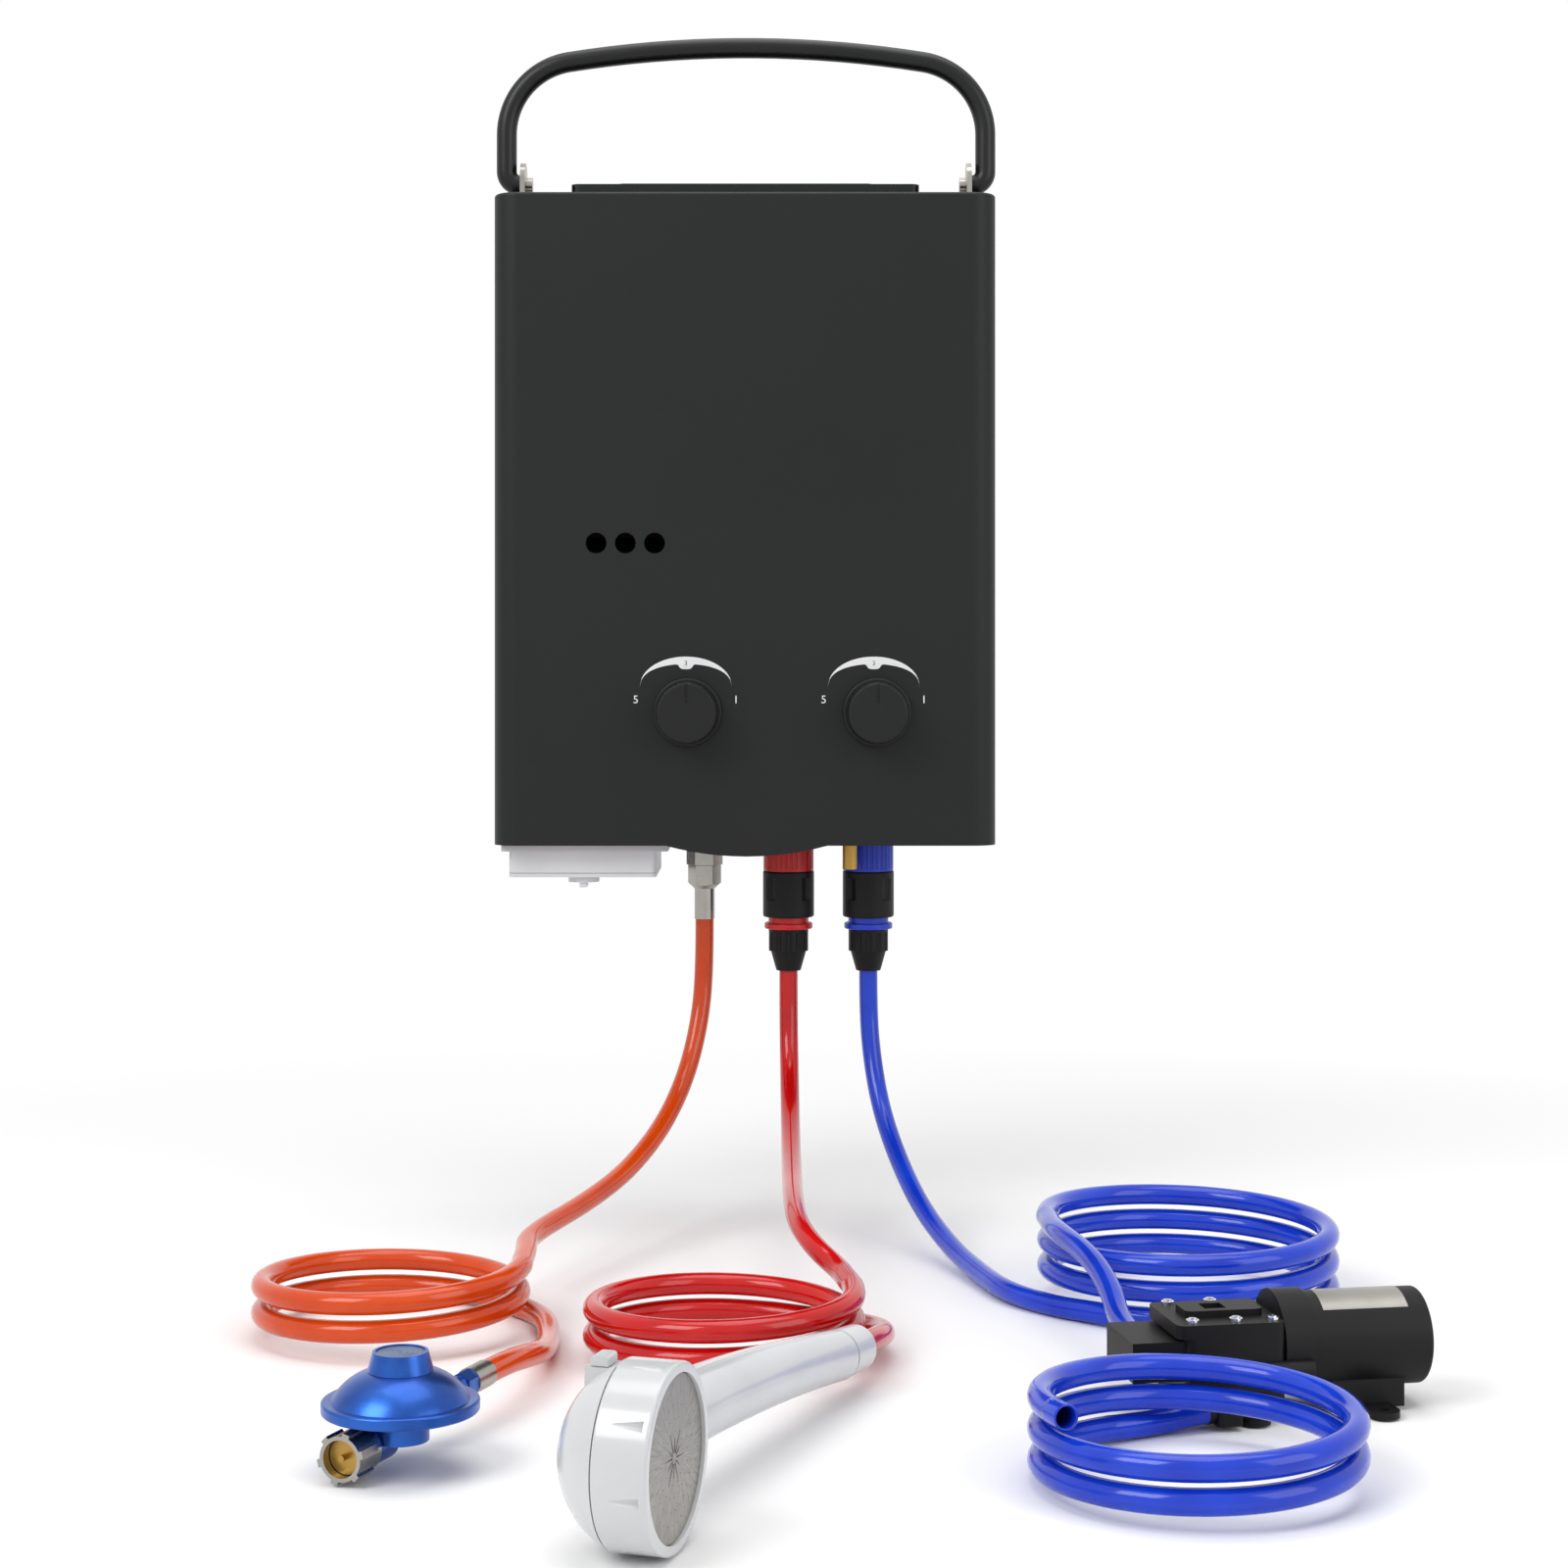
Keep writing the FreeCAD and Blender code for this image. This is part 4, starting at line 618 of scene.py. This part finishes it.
PUMP_PLACE = Vector((172.3, -485.3, 0)) * MM
PUMP_TURN = math.radians(10.0)
MOTOR_AXIS_Z = (-611.0 + 29.3) * MM
MOTOR_RADIUS = 21.5 * MM
LABEL_START, LABEL_STOP = 90 * MM, 130 * MM
LABEL_LOW, LABEL_HIGH = math.radians(48), math.radians(104)
LABEL_PROUD, LABEL_SUNK = 0.2 * MM, 0.1 * MM
LABEL_STEPS = 18


def motor_label(material):
    """A bare foil label bent round the top and front of the motor can."""
    spot = Matrix.Translation((PUMP_PLACE.x, PUMP_PLACE.y, MOTOR_AXIS_Z))
    place = spot @ Matrix.Rotation(PUMP_TURN, 4, "Z")
    turns = [LABEL_LOW + (LABEL_HIGH - LABEL_LOW) * i / LABEL_STEPS for i in range(LABEL_STEPS + 1)]
    bm = bmesh.new()
    rows = []
    for radius in (MOTOR_RADIUS + LABEL_PROUD, MOTOR_RADIUS - LABEL_SUNK):
        for x in (LABEL_START, LABEL_STOP):
            rows.append([bm.verts.new(place @ Vector((x, -radius * math.cos(t), radius * math.sin(t))))
                         for t in turns])
    outer_a, outer_b, inner_a, inner_b = rows
    for i in range(LABEL_STEPS):
        bm.faces.new((outer_a[i], outer_a[i + 1], outer_b[i + 1], outer_b[i]))
        bm.faces.new((inner_a[i], inner_b[i], inner_b[i + 1], inner_a[i + 1]))
        bm.faces.new((outer_a[i], inner_a[i], inner_a[i + 1], outer_a[i + 1]))
        bm.faces.new((outer_b[i], outer_b[i + 1], inner_b[i + 1], inner_b[i]))
    for i in (0, LABEL_STEPS):
        bm.faces.new((outer_a[i], outer_b[i], inner_b[i], inner_a[i]))
    piece = mesh_piece("motor_label", bm, material, smooth=False)
    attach(piece, "root")


# Finishes on the CAD nodes

def give(node, material):
    for slot in node.material_slots:
        slot.material = material


def paint_nodes():
    black = powder_coat()
    tube = painted_tube()
    abs_black = black_abs()
    knob = knob_abs()
    white = white_abs()
    grey = grey_abs()
    metal = nickel()
    chrome = bright_chrome()
    brass = turned_brass()
    copper = drawn_copper()
    hole_shade = hole_shade_copper()
    aluminium = cast_aluminium()
    lacquer = blue_lacquer()
    steel = plain_steel()
    red = coloured_pp("red polypropylene", "#b8100f", "#cc1a16")
    blue = coloured_pp("blue polypropylene", "#1432b4", "#1b3fcc")
    orange_hose = coloured_pvc("orange rubber hose", "#c43c02", "#d34804")
    red_hose = coloured_pvc("red PVC hose", "#b40505", "#c80a0a")
    blue_hose = coloured_pvc("blue PVC hose", "#0a2fb4", "#1240cc")
    rays = radial_steel(PLATE_CENTRE, PLATE_NORMAL)
    finishes = {
        black: ["front_cover", "back_plate", "hook_tab", "exhaust_hood"],
        tube: ["handle_tube"],
        abs_black: ["hot_connector_body", "cold_connector_body", "hot_hose_nut", "cold_hose_nut",
                    "pump_motor", "pump_housing", "pump_cover", "pump_base", "igniter_module"],
        knob: ["gas_knob", "water_knob"],
        white: ["shower_shell", "shower_ring", "shower_button", "shower_collar"],
        grey: ["battery_box", "battery_lid", "battery_knob"],
        red: ["hot_tap_nut", "hot_release_ring"],
        blue: ["cold_tap_nut", "cold_release_ring"],
        metal: ["handle_brackets", "handle_pins", "gas_stem", "water_stem", "gas_inlet_nipple",
                "gas_flare_nut", "gas_hose_ferrules", "regulator_nut", "battery_cells"],
        chrome: ["cover_screws", "pump_screws"],
        brass: ["drain_valve", "regulator_nipple", "water_valve_body"],
        # Painted shade: the chamber behind the sight holes is painted near black.
        hole_shade: ["combustion_chamber"],
        copper: ["heat_exchanger", "exchanger_tube", "water_pipes"],
        aluminium: ["gas_valve_body", "gas_manifold"],
        lacquer: ["regulator_body", "regulator_bonnet"],
        steel: ["burner", "electrodes"],
        rays: ["spray_plate"],
    }
    for material, names in finishes.items():
        for name in names:
            give(nodes[name], material)
    hoses = {"gas": orange_hose, "shower": red_hose, "supply": blue_hose, "suction": blue_hose}
    for name, node in nodes.items():
        if "_hose_run" in name or "_hose_coil" in name:
            give(node, hoses[name.split("_")[0]])
    return orange_hose, red_hose, blue_hose, steel


# Stage: a pale floor that fades to white, soft lamps and a white sky for the camera

FLOOR_Z = -0.6120
FLOOR_HALF = 6.0
FADE_NEAR, FADE_FAR = 0.55, 1.1
FADE_CENTRE = (0.03, -0.42, FLOOR_Z)
WHITE = (1, 1, 1, 1)
SKY_LIGHT, SKY_SEEN = 0.55, 1.0
LAMP_AIM = (0.0, -0.3, -0.4)
LAMPS = (("key", (-1.3, -1.6, 1.1), (1.2, 1.2), 26),
         ("fill", (1.6, -1.5, 0.4), (1.2, 1.6), 12),
         ("top", (0.1, -0.2, 1.7), (1.8, 1.6), 22))


def seen_directly(tree):
    """1 for rays from the camera, mirrored rays and rays through clear material, and 0 for the rest."""
    path = add(tree, "ShaderNodeLightPath")
    camera, glossy = path.outputs["Is Camera Ray"], path.outputs["Is Glossy Ray"]
    first = add(tree, "ShaderNodeMath", [(0, camera), (1, glossy)], operation="ADD")
    return add(tree, "ShaderNodeMath", [(0, first.outputs[0]), (1, path.outputs["Is Transmission Ray"])],
               operation="ADD", use_clamp=True).outputs[0]


def floor_material():
    material, tree = new_material("seamless paper")
    place = add(tree, "ShaderNodeTexCoord").outputs["Object"]
    centred = add(tree, "ShaderNodeMapping", [("Vector", place)],
                  Location=tuple(-v for v in FADE_CENTRE))
    reach = add(tree, "ShaderNodeVectorMath", [(0, centred.outputs["Vector"])], operation="LENGTH")
    fade = add(tree, "ShaderNodeMapRange", [("Value", reach.outputs["Value"])],
               From_Min=FADE_NEAR, From_Max=FADE_FAR)
    paper = add(tree, "ShaderNodeBsdfDiffuse", Color=linear("#f4f4f4"))
    glow = add(tree, "ShaderNodeEmission", [("Strength", seen_directly(tree))], Color=WHITE)
    mixed = add(tree, "ShaderNodeMixShader", [("Fac", fade.outputs["Result"]), (1, paper.outputs["BSDF"]),
                                              (2, glow.outputs["Emission"])])
    add(tree, "ShaderNodeOutputMaterial", [("Surface", mixed.outputs["Shader"])])
    return material


def make_stage():
    bm = bmesh.new()
    corners = [(-FLOOR_HALF, -FLOOR_HALF), (FLOOR_HALF, -FLOOR_HALF), (FLOOR_HALF, FLOOR_HALF),
               (-FLOOR_HALF, FLOOR_HALF)]
    bm.faces.new([bm.verts.new((x, y, FLOOR_Z)) for x, y in corners])
    mesh_piece("floor", bm, floor_material(), smooth=False)
    world = bpy.data.worlds.new("sky")
    world.use_nodes = True
    tree = world.node_tree
    tree.nodes.clear()
    strength = add(tree, "ShaderNodeMapRange", [("Value", seen_directly(tree))],
                   To_Min=SKY_LIGHT, To_Max=SKY_SEEN)
    sky = add(tree, "ShaderNodeBackground", [("Strength", strength.outputs["Result"])], Color=WHITE)
    add(tree, "ShaderNodeOutputWorld", [("Surface", sky.outputs["Background"])])
    bpy.context.scene.world = world


def soft_lamp(name, place, size, power):
    data = bpy.data.lights.new(name, "AREA")
    data.shape = "RECTANGLE"
    data.size, data.size_y = size
    data.energy = power
    lamp = bpy.data.objects.new(name, data)
    lamp.location = place
    lamp.rotation_euler = (Vector(LAMP_AIM) - Vector(place)).to_track_quat("-Z", "Y").to_euler()
    bpy.context.collection.objects.link(lamp)


def make_lights():
    for name, place, size, power in LAMPS:
        soft_lamp(name, place, size, power)


def main():
    make_camera()
    orange, red, blue, steel = paint_nodes()
    make_hoses(orange, red, blue)
    front_marks(screen_ink(), black_abs())
    spray_jets(steel)
    star_slits(slit_shadow())
    cap_disc(brushed_cap())
    motor_label(silver_foil())
    make_stage()
    make_lights()
    bpy.context.scene.view_settings.view_transform = "Standard"


main()
